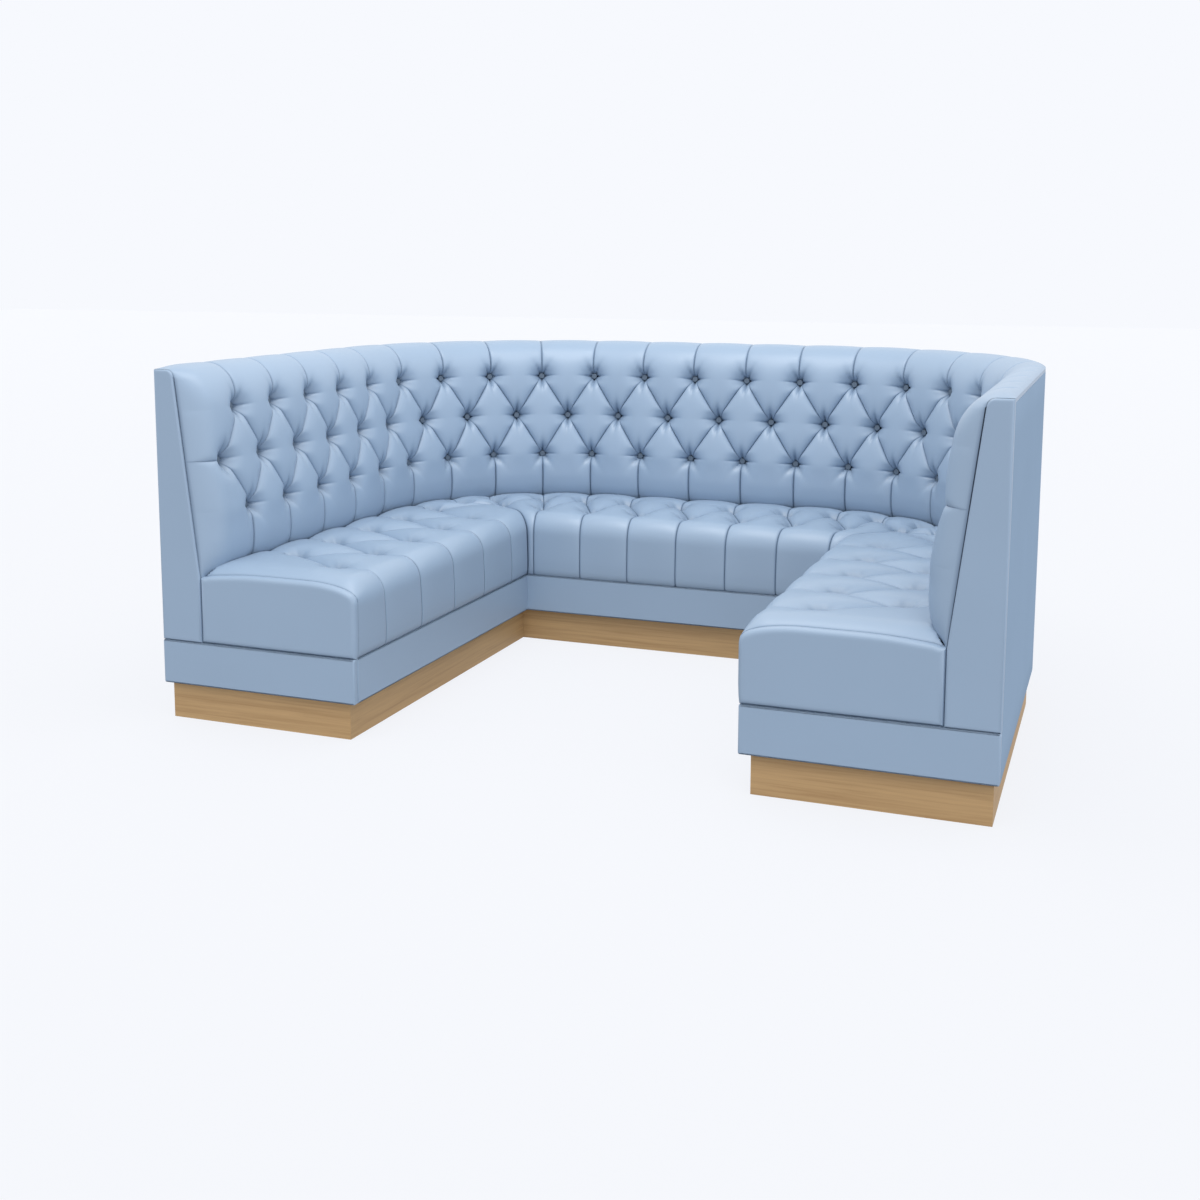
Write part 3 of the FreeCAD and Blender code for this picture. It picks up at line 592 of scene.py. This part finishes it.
class SeatQuilt:
    """Surface of the tufted seat over places along its pleats."""

    def __init__(self, size):
        self.size = size
        self.line = BackLine(size)
        self.foot_line = size.panel_foot + size.foot_reach
        crown = size.seat_line + size.seat_crown
        shoulder, roll = size.seat_line - 0.043, 0.060
        path = self.hem(size.bulge * 0.6)
        path += [(-size.bulge * 0.9, size.deck_top), (-size.bulge, shoulder)]
        high = crown - 0.008 - shoulder
        path += arc((roll, shoulder), (-roll - size.bulge, high), 0, math.pi / 2, 16)
        path += [(size.front_row, crown), (size.front_row + 0.001, crown)]
        self.sweep = Sweep(path, blur=0.006)
        self.sweep.normal *= -1
        self.front = float(self.sweep.length[-1])
        self.crown = crown

    def hem(self, out):
        """Foot of the cover over a rail, where it turns out to the front."""
        top = self.size.rail_top
        return [(0.004, top + BOARD_GAP), (0.0, top + 0.004), (-out, top + 0.018)]

    def straight(self, y):
        """Pleat across an arm, square to it."""
        size = self.size
        insets = (size.rear_row, self.foot_line, size.panel_foot + COVER_GAP)
        xs = [size.inner_x, size.inner_x + size.front_row]
        return np.array([(x, y) for x in xs + [size.half_width - inset for inset in insets]])

    def rear(self, run):
        """Rear half of a pleat that ends at a run along the back."""
        size, line = self.size, self.line
        turn = min(1.0, abs(abs(run) - line.mitre) / (line.bend / 2))
        row = size.corner_row + (size.rear_row - size.corner_row) * turn
        insets = (row, self.foot_line, size.panel_foot + COVER_GAP)
        return np.array([[float(c) for c in line.place(np.array(run), inset)] for inset in insets])

    def mitre(self, side):
        """Pleat along the right mitre, half a clearance to one side of it."""
        size = self.size
        offset = np.array([1, -1]) / math.sqrt(2) * side * COVER_GAP / 2
        corner = np.array([size.inner_x, size.inner_y])
        front = [corner, corner + size.corner_tuft]
        return np.concatenate([front, self.rear(self.line.mitre)]) + offset

    def arm_pleats(self):
        """Pleats of the right arm, from its open end to the mitre."""
        size, pitch = self.size, self.line.pitch
        gap = np.array([0, PLEAT_GAP])
        seams = np.linspace(size.first_channel - size.half_depth, size.inner_y - size.last_channel,
                            size.arm_seams)
        fronts = [self.straight(y)[:2] for y in seams]
        rears = [self.straight((here + there) / 2)[2:] for here, there in zip(seams, seams[1:])]
        rears += [self.rear((size.joint_bay + bay) * pitch) for bay in (1.5, 0.5)]
        pleats = [self.straight(size.facing + COVER_GAP - size.half_depth)]
        pleats.append(np.concatenate([fronts[0], rears[0] - gap]))
        for i in range(1, size.arm_seams):
            pleats.append(np.concatenate([fronts[i] - gap, rears[i - 1] + gap]))
            pleats.append(np.concatenate([fronts[i] + gap, rears[i] - gap]))
        mitre = self.mitre(1)
        pleats.append(np.concatenate([mitre[:2] - 4 * gap, rears[-2] + gap]))
        pleats.append(np.concatenate([mitre[:2] - 2 * gap, rears[-1]]))
        return pleats + [mitre]

    def centre_pleats(self):
        """Pleats of the centre, from mitre to mitre."""
        size, pitch = self.size, self.line.pitch
        gap = np.array([PLEAT_GAP, 0])
        reach = size.inner_x - size.side_channel
        seams = np.linspace(-reach, reach, size.centre_seams)
        rears = [self.rear((i - size.centre_seams / 2) * pitch)
                 for i in range(size.centre_seams + 1)]
        mitre, spread = self.mitre(-1), 1.055
        beside = np.concatenate([mitre[:2] - 2 * gap, rears[-1] + gap])
        flip = np.array([-1, 1])
        pleats = [mitre * flip, beside * flip]
        for i, x in enumerate(seams):
            front = np.array([(x, size.inner_y), (x * spread, size.inner_y + size.front_row)])
            pleats.append(np.concatenate([front - gap, rears[i] + gap]))
            pleats.append(np.concatenate([front + gap, rears[i + 1] - gap]))
        return pleats + [beside, mitre]

    def front_rows(self):
        """Lengths up and over the front of the rows of faces."""
        return np.concatenate([graded(0, 0.10, 14, False, False),
                               graded(0.10, self.front, 34, False, True)])

    def rear_rows(self):
        """Places of the rows of faces from the front tufts to the far edge."""
        return np.concatenate([graded(1, 2, 32, True, True), graded(2, 3, 30, True, True),
                               graded(3, 4, 12, False, False), [4.0]])

    def stations(self):
        """Place, height and normals for each row of faces."""
        distance, z, normal, z_normal = self.sweep.at(self.front_rows())
        place, rear = distance / self.size.front_row, self.rear_rows()
        pairs = (place, rear), (z, self.crown), (normal, 0.0), (z_normal, 1.0)
        return [np.concatenate([front, rear * 0 + back]) for front, back in pairs]

    def surface(self, pleats, tufts, open_end):
        """Places and painted fold shade of the whole cover, from the rails to its far edge."""
        size = self.size
        share = graded(0, 1, size.cell_columns, True, True)[None, :]
        place, z, normal, z_normal = self.stations()
        tufts = np.array(tufts)
        behind = np.clip(place, 0, 4)[:, None]
        base = size.front_seam * smooth(0, 0.25, self.along(z, place))[:, None]
        base = base + (size.seat_pleat - base) * smooth(0.35, 1.0, behind)
        base = base + (0.012 - base) * smooth(1.9, 2.5, behind)
        end_place, end_height = self.end_profile()
        blocks, fold_shades, angles = [], [], np.radians([-90, -40, 40, 90])
        cells = len(pleats) - 1
        for cell in range(cells):
            part = share if cell < cells - 1 else np.concatenate([share, [[1.0]]], 1)
            pair = pleats[cell], pleats[cell + 1]
            ends = [on_pleat(pleat, place) for pleat in pair]
            span = np.linalg.norm(ends[1] - ends[0], axis=1)[:, None]
            steps = between(*pair, place[:, None], part)[:, :, None, :] - tufts[None, None, :, :]
            gaps = np.linalg.norm(steps, axis=3)
            which = gaps.argmin(axis=2)
            distance = gaps.min(axis=2)
            nearest = np.take_along_axis(steps, which[..., None, None], axis=2)[:, :, 0]
            on_top = smooth(0.30, 0.75, behind)
            left, right = part * span, (1 - part) * span
            swell = 1 - pillow(part, span / span.max())
            end = late = seam_shade = np.zeros_like(swell)
            if open_end and cell == 0:
                swell = 1 - rounded(right / 0.09)
                end, late = 1 - rounded(left / 0.08, 0.75), 1 - rounded(left / 0.08)
                # Painted shade along the seam by the border.
                seam_shade = np.exp(-left / 0.0014) * 0.5
                left = left + 1.0
            edge = np.minimum(left, right)
            groove = 0.0028 * np.exp(-edge / 0.0014)
            pit = size.seat_dimple * pit_depth(distance, 0.002, 0.085, 2.4) * on_top
            pit = pit + 0.014 * bell(distance, 0.011) * on_top
            fan = creases(nearest[..., 1], nearest[..., 0], distance, angles) * on_top
            depth = deeper(base * swell, pit, 0.004) + groove + 0.0080 * fan
            back = behind - 0.9 * late
            fall = 0.003 * smooth(2.2, 3.0, behind)
            fall = fall + (size.seat_crown - 0.0034) * smooth(2.86, 3.04, back)
            depth = depth * (1 - smooth(2.88, 3.04, back)) + fall
            toward = place[:, None] - depth * normal[:, None] / size.front_row
            toward = toward * (1 - end) + end_place[:, None] * end
            plan = between(*pair, toward, part)
            height = z[:, None] - depth * z_normal[:, None]
            height = height * (1 - end) + end_height[:, None] * end
            blocks.append(np.concatenate([plan, height[..., None]], 2))
            # Painted shade: the fold mask darkens the pleats, round each tuft, along the creases and
            # along the seam by the border.
            pleat_shade = np.exp(-edge / 0.0015) * (0.85 + 0.15 * on_top)
            pit_shade = 0.95 * bell(distance, 0.013) + 0.50 * bell(distance, 0.040)
            fold_shades.append(np.maximum.reduce([pleat_shade, pit_shade * on_top, 0.30 * fan, seam_shade]))
        return np.concatenate(blocks, 1), np.concatenate(fold_shades, 1)

    def along(self, z, place):
        """Rough distance up and over the front from the rail."""
        return (z - self.size.rail_top) + np.clip(place, 0, 1) * self.size.front_row

    def end_profile(self):
        """Places and heights of the cover's edge along the border at an arm's end."""
        size = self.size
        top, front = self.crown - size.border_drop, -0.004
        low = top - size.border_curve
        path = self.hem(front * -0.6) + [(front, size.deck_top), (front, low)]
        path += arc((size.front_row, low), (front - size.front_row, top - low), 0, math.pi / 2, 24)
        sweep = Sweep(path, blur=0.004)
        along, rear = self.front_rows(), self.rear_rows()
        distance, z = sweep.at(along * float(sweep.length[-1]) / self.front)[:2]
        back = top - (top - size.seat_line - BOARD_GAP) * smooth(1.6, 3.95, rear)
        return np.concatenate([distance / size.front_row, rear]), np.concatenate([z, back])

    def pad(self, pleats, open_end):
        """Closed pad over a list of pleats, with a tuft at places 1 and 2 of each."""
        size = self.size
        inner = pleats[1:] if open_end else pleats
        tufts = [pleat[row] for row in (1, 2) for pleat in inner]
        place, fold = self.surface(pleats, tufts, open_end)
        deck, behind = size.deck_top + BOARD_GAP, (size.facing - BOARD_GAP) / size.front_row
        shares = [graded(0, 1, size.cell_columns, True, True)] * (len(pleats) - 1)
        shares[-1] = np.append(shares[-1], 1.0)
        rows = []
        for at, z in ((4.0, deck), (3.0, deck), (2.0, deck), (1.0, deck), (behind, deck),
                      (behind, size.rail_top + BOARD_GAP)):
            plan = np.concatenate([between(first, last, np.array([at]), share)
                                   for first, last, share in zip(pleats, pleats[1:], shares)])
            rows.append(np.concatenate([plan, np.full((len(plan), 1), z)], 1))
        return closed(place, fold, np.stack(rows))


class BANQUETTE_OT_seat_pads(bpy.types.Operator):
    """Tufted pads of the seat"""

    bl_idname = "banquette.seat_pads"
    bl_label = "Seat pads"

    def execute(self, context):
        quilt = SeatQuilt(context.scene.banquette_sizes)
        arm, centre = quilt.pad(quilt.arm_pleats(), True), quilt.pad(quilt.centre_pleats(), False)
        for piece in pads("tufted_", "seat_pad_", arm, centre):
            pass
        return {"FINISHED"}


# Borders and boards.


def softened(bm, edges, width, segments, clamp):
    """Rounds edges off."""
    bmesh.ops.bevel(bm, geom=list(edges), offset=width, offset_type="OFFSET", segments=segments,
                    profile=0.5, affect="EDGES", material=-1, clamp_overlap=clamp)


def fronted(name, outline, front, back, rounding):
    """Covered board with an outline in x and z, rounded at its front and square at its back."""
    bm = bmesh.new()
    disc = bmesh.ops.create_circle(bm, cap_ends=True, radius=1.0, segments=len(outline))
    for vert, (x, z) in zip(disc["verts"], outline):
        vert.co = (x, back, z)
    grown = bmesh.ops.extrude_face_region(bm, geom=list(bm.faces))["geom"]
    cap = next(item for item in grown if isinstance(item, bmesh.types.BMFace))
    bmesh.ops.translate(bm, vec=(0, front - back, 0), verts=list(cap.verts))
    bmesh.ops.recalc_face_normals(bm, faces=bm.faces)
    softened(bm, cap.edges, rounding, 6, False)
    bm.normal_update()
    flat = [face for face in bm.faces if all(abs(vert.co.y - front) < 1e-6 for vert in face.verts)]
    bmesh.ops.inset_individual(bm, faces=flat, thickness=0.006, use_even_offset=True)
    return made(name, bm, 40)


def bar(name, low, high, rounding):
    """Covered bar between two corners, with all its edges rounded."""
    bm = bmesh.new()
    middle, size = (Vector(low) + Vector(high)) / 2, Vector(high) - Vector(low)
    block = Matrix.Translation(middle) @ Matrix.Diagonal(size.to_4d())
    bmesh.ops.create_cube(bm, size=1.0, matrix=block)
    softened(bm, bm.edges, rounding, 4, True)
    wide = [face for face in bm.faces if face.calc_area() > 20 * rounding ** 2]
    bmesh.ops.inset_individual(bm, faces=wide, thickness=rounding / 2, use_even_offset=True)
    return made(name, bm, 40)


def end_boards(kind, node, outline, gap, rounding):
    """Dressed boards on the fronts of both arms; the outline is the right one's, in x and z."""
    size, cover = bpy.context.scene.banquette_sizes, finished("border vinyl", vinyl)
    back = size.facing - size.half_depth - gap
    pieces = []
    for side, shape in (("right", outline), ("left", [(-x, z) for x, z in outline][::-1])):
        pieces.append(fronted(kind + node + side, shape, -size.half_depth, back, rounding))
        dressed(pieces[-1], cover, node + side)
    return pieces


class BANQUETTE_OT_rails(bpy.types.Operator):
    """Padded rail bands over the plinth"""

    bl_idname = "banquette.rails"
    bl_label = "Rails"

    def execute(self, context):
        cover = finished("border vinyl", vinyl)
        for node in ("rail_end_left", "rail_end_right", "rail_inner_left", "rail_inner_right",
                     "rail_centre"):
            low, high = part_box(node)
            low, high = [c + COVER_GAP for c in low], [c - COVER_GAP for c in high]
            dressed(bar("covered_" + node, low, high, 0.0045), cover, node)
        return {"FINISHED"}


class BANQUETTE_OT_end_panels(bpy.types.Operator):
    """End panels of the back"""

    bl_idname = "banquette.end_panels"
    bl_label = "End panels"

    def execute(self, context):
        size = context.scene.banquette_sizes
        corner, height = size.panel_corner, size.back_top - size.panel_corner
        outer, foot = size.half_width, size.half_width - size.panel_foot + BOARD_GAP
        side, low, high = outer - BOARD_GAP, size.rail_top + BOARD_GAP, size.back_top - BOARD_GAP
        middle = outer - size.panel_top + corner
        outline = [(side, low), (side, high), (middle, size.back_top)]
        outline += arc((middle, height), (corner, corner), math.pi / 2, math.pi, 9)
        outline += [(foot, size.seat_line), (foot, low)]
        end_boards("covered_", "end_panel_", outline, BOARD_GAP, 0.0065)
        return {"FINISHED"}


class BANQUETTE_OT_seat_ends(bpy.types.Operator):
    """Smooth borders that close the front ends of the seat"""

    bl_idname = "banquette.seat_ends"
    bl_label = "Seat ends"

    def execute(self, context):
        size = context.scene.banquette_sizes
        quilt = SeatQuilt(size)
        place, height = quilt.end_profile()
        plan = on_pleat(quilt.straight(-size.half_depth), place)
        top = np.stack([plan[:, 0], height], 1)[height > size.rail_top + 0.015]
        length = np.concatenate([[0], np.cumsum(np.hypot(*np.diff(top, axis=0).T))])
        outline = [(size.inner_x, size.rail_top + BOARD_GAP)]
        for reach in np.linspace(0, length[-1], 44):
            outline.append(tuple(float(np.interp(reach, length, top[:, i])) for i in (0, 1)))
        outline.append((outline[-1][0], size.rail_top + BOARD_GAP))
        for piece in end_boards("padded_", "seat_end_", outline[::-1], COVER_GAP, 0.014):
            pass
        return {"FINISHED"}


class BANQUETTE_OT_outside(bpy.types.Operator):
    """Plain covered outside of the back"""

    bl_idname = "banquette.outside"
    bl_label = "Outside"

    def execute(self, context):
        size = context.scene.banquette_sizes
        line = BackLine(size)
        cover = finished("outside vinyl", vinyl, 1.0, 1.0, 0.0)
        start, end = line.mitre + COVER_GAP, line.front - COVER_GAP
        soft, thick, edge = 0.0025, 0.012, 0.0008
        low, high = size.rail_low, size.frame_top - 0.0002
        ring = [(thick, low), (soft, low), (soft * 0.3, low + soft * 0.3), (0.0, low + soft)]
        ring += [(0.0, z) for z in np.linspace(low, high, 13)[1:-1]]
        ring += [(0.0, high - soft), (soft * 0.3, high - soft * 0.3), (soft, high)]
        ring += [(thick, high), (thick, low)]
        for side, first, last in (("left", -end, -start), ("centre", -line.mitre, line.mitre),
                                  ("right", start, end)):
            middle = np.linspace(first, last, 121)[1:-1]
            runs = np.concatenate([[first, first + edge, first + soft], middle,
                                   [last - soft, last - edge, last]])
            sink = np.concatenate([[soft, edge], np.zeros(len(runs) - 4), [edge, soft]])
            rows = []
            for inset, z in ring:
                x, y = line.place(runs, inset if inset == thick else np.maximum(inset, sink))
                rows.append(np.stack([x, y, np.full_like(x, z)], 1))
            node = "outside_back_" + side
            dressed(woven("covered_" + node, np.stack(rows)), cover, node)
        return {"FINISHED"}


class BANQUETTE_OT_boards(bpy.types.Operator):
    """Finishes of the oak plinth and the boards inside"""

    bl_idname = "banquette.boards"
    bl_label = "Boards"

    def execute(self, context):
        for part in frame["record"]["subparts"]:
            node, slot = part["node"], part["material_slot"]
            if slot == "vinyl":
                continue
            low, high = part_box(node)
            if slot == "steel":
                material = finished("zinc", zinc)
            elif slot != "oak":
                material = finished(slot, board, slot)
            elif high[0] - low[0] > high[1] - low[1]:
                material = finished("oak along x", oak, (1.5, 60.0, 60.0))
            else:
                material = finished("oak along y", oak, (60.0, 1.5, 60.0))
            frame["nodes"][node].material_slots[0].material = material
        return {"FINISHED"}


# Materials.


class Value:
    """A number socket that maths can be written with."""

    def __init__(self, tree, socket):
        self.tree = tree
        self.socket = socket

    def maths(self, operation, *values):
        """Socket of a new Math node that works on sockets or numbers."""
        return self.tree.add("ShaderNodeMath", {"operation": operation}, dict(enumerate(values)))

    def __add__(self, other):
        return self.maths("ADD", self, other)

    def __sub__(self, other):
        return self.maths("SUBTRACT", self, other)

    def __rsub__(self, other):
        return self.maths("SUBTRACT", other, self)

    def __mul__(self, other):
        return self.maths("MULTIPLY", self, other)

    __radd__ = __add__
    __rmul__ = __mul__


class Tree:
    """Node tree of a material, or of the world."""

    def __init__(self, owner, shader="Principled BSDF", place="Object"):
        owner.use_nodes = True
        self.nodes = owner.node_tree.nodes
        self.links = owner.node_tree.links
        self.shader = self.nodes[shader]
        self.place = self.add("ShaderNodeTexCoord", out=place)

    def add(self, kind, settings=None, sockets=None, out=0):
        """Adds a node: its settings first, then values or links for its sockets."""
        node = self.nodes.new(kind)
        for name, value in (settings or {}).items():
            if name == "stops":
                ramp = node.color_ramp
                while len(ramp.elements) < len(value):
                    ramp.elements.new(0.5)
                for element, (position, colour) in zip(ramp.elements, value):
                    element.position = position
                    element.color = colour
            else:
                setattr(node, name, value)
        for name, value in (sockets or {}).items():
            self.feed(node.inputs[name], value)
        return Value(self, node.outputs[out])

    def feed(self, socket, value):
        """Gives a socket its link or its value."""
        if isinstance(value, Value):
            self.links.new(value.socket, socket)
        else:
            socket.default_value = value

    def set(self, **sockets):
        """Values or links for the sockets of the surface shader."""
        for name, value in sockets.items():
            self.feed(self.shader.inputs[name.replace("_", " ")], value)

    def mix(self, factor, first, second):
        """Colour between two colours."""
        sockets = {0: factor, 6: first, 7: second}
        return self.add("ShaderNodeMix", {"data_type": "RGBA"}, sockets, out=2)

    def noise(self, place, scale, detail, roughness=0.5, distortion=0.0):
        """Cloudy noise from 0 to 1."""
        sockets = {"Vector": place, "Scale": scale, "Detail": detail, "Roughness": roughness,
                   "Distortion": distortion}
        return self.add("ShaderNodeTexNoise", sockets=sockets)

    def bump(self, height, strength, distance):
        """Normal of a surface with a fine relief."""
        sockets = {"Strength": strength, "Distance": distance, "Height": height}
        return self.add("ShaderNodeBump", sockets=sockets)


def finished(name, build, *values):
    """The material of that name; build makes it the first time that it's asked for."""
    if name not in bpy.data.materials:
        build(Tree(bpy.data.materials.new(name)), *values)
    return bpy.data.materials[name]


def solid(colour, scale=1.0):
    """Opaque colour, lighter or darker by a scale."""
    return tuple(min(1.0, channel * scale) for channel in colour) + (1.0,)


def vinyl(tree, grain=1.0, shade=1.0, gloss=0.50):
    """Coated vinyl: fine grain, a soft shine, and painted shade that darkens the colour down in the
    folds.
    """
    finish = bpy.context.scene.banquette_finish
    broad = tree.noise(tree.place, 3.5, 3.0)
    fine = tree.add("ShaderNodeTexVoronoi", {"feature": "SMOOTH_F1"},
                    {"Vector": tree.place, "Scale": 620.0, "Smoothness": 0.6})
    wrinkle = tree.noise(tree.place, 70.0, 4.0, 0.55)
    colour = tree.mix(broad, solid(finish.vinyl, 0.965 * shade), solid(finish.vinyl, 1.035 * shade))
    # Painted shade: the fold attribute mixes the colour towards the dark fold-shade colour.
    fold = tree.add("ShaderNodeAttribute", {"attribute_name": "fold"}, out="Fac")
    colour = tree.mix(fold * 0.85, colour, solid(finish.vinyl_fold_shade))
    bump = tree.bump(fine * (0.10 * grain) + wrinkle * 0.25, 0.22, 0.0006)
    tree.set(Base_Color=colour, Roughness=wrinkle * 0.06 + 0.37, Normal=bump,
             Specular_IOR_Level=gloss)


def oak(tree, stretch):
    """Straight-grained oak, its grain along the board."""
    finish = bpy.context.scene.banquette_finish
    strands = tree.add("ShaderNodeMapping", {}, {"Vector": tree.place, "Scale": stretch})
    grain = tree.noise(strands, 2.0, 6.0, 0.6, 0.35)
    pores = tree.noise(strands, 16.0, 3.0, 0.7)
    broad = tree.noise(strands, 0.45, 2.0)
    stops = [(0.34, solid(finish.oak_grain)), (0.50, solid(finish.oak)),
             (0.68, solid(finish.oak, 1.16))]
    ramp = tree.add("ShaderNodeValToRGB", {"stops": stops}, {"Fac": grain * 0.7 + broad * 0.3})
    colour = tree.mix(pores * 0.28, ramp, solid(finish.oak_grain, 0.85))
    tree.set(Base_Color=colour, Roughness=grain * 0.12 + 0.42, Specular_IOR_Level=0.4,
             Normal=tree.bump(grain + pores * 0.6, 0.25, 0.0004))


def board(tree, slot):
    """Plain boards inside: plywood, softwood or hardboard."""
    colour = {item["slot"]: item["base_color"] for item in frame["record"]["materials"]}[slot][:3]
    stretched = tree.add("ShaderNodeMapping", {},
                         {"Vector": tree.place, "Scale": (4.0, 30.0, 30.0)})
    grain = tree.noise(stretched, 2.5, 5.0, 0.6)
    tree.set(Base_Color=tree.mix(grain, solid(colour, 0.72), solid(colour, 1.12)),
             Roughness=grain * 0.15 + 0.55, Normal=tree.bump(grain, 0.2, 0.0004))


def zinc(tree):
    """Zinc-plated steel of the joining plates."""
    cloud = tree.noise(tree.place, 60.0, 3.0)
    tree.set(Base_Color=tree.mix(cloud, (0.45, 0.46, 0.47, 1.0), (0.62, 0.63, 0.64, 1.0)),
             Metallic=1.0, Roughness=cloud * 0.2 + 0.3)


def pale_floor(tree):
    """Pale floor with a faint glow of its own, so that it runs into the backdrop."""
    finish = bpy.context.scene.banquette_finish
    cloud = tree.noise(tree.place, 1.2, 2.0)
    tree.set(Base_Color=tree.mix(cloud, solid(finish.floor, 0.995), solid(finish.floor)),
             Roughness=0.85, Specular_IOR_Level=0.1, Emission_Color=PALE, Emission_Strength=0.870)


# Stage and panel.


class BANQUETTE_OT_stage(bpy.types.Operator):
    """Floor, soft light and camera"""

    bl_idname = "banquette.stage"
    bl_label = "Stage"

    def execute(self, context):
        bm = bmesh.new()
        bmesh.ops.create_grid(bm, x_segments=1, y_segments=1, size=30.0)
        floor = made("floor", bm)
        floor.data.materials.append(finished("pale floor", pale_floor))
        floor.visible_diffuse = False
        floor.visible_glossy = False

        world = bpy.data.worlds.new("studio")
        context.scene.world = world
        sky = Tree(world, "Background", "Generated")
        parts = [sky.add("ShaderNodeSeparateXYZ", {}, {"Vector": sky.place}, out=i)
                 for i in range(3)]
        beside = parts[0] * 0.95 - parts[1] * 0.30
        side = beside.maths("MAXIMUM", beside, 0.0)
        stops = [(0.36, (0.40, 0.41, 0.43, 1.0)), (0.44, PALE), (0.64, PALE),
                 (0.74, (1.27, 1.25, 1.22, 1.0)), (0.92, (0.87, 0.855, 0.835, 1.0))]
        level = parts[2] * 0.5 + 0.5
        sky.set(Color=sky.add("ShaderNodeValToRGB", {"stops": stops}, {"Fac": level}),
                Strength=side * 0.45 + 1.0)
        lamp = bpy.data.lights.new("overhead", "SUN")
        lamp.energy = 0.95
        lamp.angle = math.radians(40)
        overhead = placed("overhead", lamp)
        overhead.rotation_euler = (math.radians(26), math.radians(2), 0.0)
        panel = bpy.data.lights.new("soft panel", "AREA")
        panel.energy = 22.0
        panel.color = (1.0, 0.975, 0.940)
        panel.size = 1.5
        above = placed("soft panel", panel)
        above.location = (0.0, -0.35, 2.8)
        above.visible_camera = False

        camera = bpy.data.cameras.new("camera")
        camera.lens = 42.96
        camera.sensor_width = 36.0
        camera.shift_y = -0.12
        camera.clip_end = 100.0
        viewer = placed("camera", camera)
        viewer.location = (1.49325, -4.4212, 1.36916)
        viewer.rotation_mode = "XYZ"
        viewer.rotation_euler = (math.radians(90 - 7.61), math.radians(-0.18), math.radians(20.69))
        context.scene.camera = viewer
        context.scene.view_settings.view_transform = "Standard"
        return {"FINISHED"}


class BANQUETTE_PT_panel(bpy.types.Panel):
    """Buttons for each step, with the sizes and colours"""

    bl_idname = "BANQUETTE_PT_panel"
    bl_label = "Banquette"
    bl_space_type = "VIEW_3D"
    bl_region_type = "UI"
    bl_category = "Banquette"

    def draw(self, context):
        for step in STEPS:
            self.layout.operator(step.bl_idname)
        for group in (context.scene.banquette_sizes, context.scene.banquette_finish):
            box = self.layout.box()
            for name in group.bl_rna.properties.keys():
                if name not in ("rna_type", "name"):
                    box.prop(group, name)


STEPS = (BANQUETTE_OT_back_pads, BANQUETTE_OT_buttons, BANQUETTE_OT_seat_pads,
         BANQUETTE_OT_seat_ends, BANQUETTE_OT_rails, BANQUETTE_OT_end_panels,
         BANQUETTE_OT_outside, BANQUETTE_OT_boards, BANQUETTE_OT_stage)
CLASSES = (BanquetteSizes, BanquetteFinish) + STEPS + (BANQUETTE_PT_panel,)


def register():
    for item in CLASSES:
        bpy.utils.register_class(item)
    bpy.types.Scene.banquette_sizes = PointerProperty(type=BanquetteSizes)
    bpy.types.Scene.banquette_finish = PointerProperty(type=BanquetteFinish)


def unregister():
    del bpy.types.Scene.banquette_finish
    del bpy.types.Scene.banquette_sizes
    for item in reversed(CLASSES):
        bpy.utils.unregister_class(item)


def main():
    register()
    for step in STEPS:
        group, name = step.bl_idname.split(".")
        getattr(getattr(bpy.ops, group), name)()


if __name__ == "__main__":
    main()
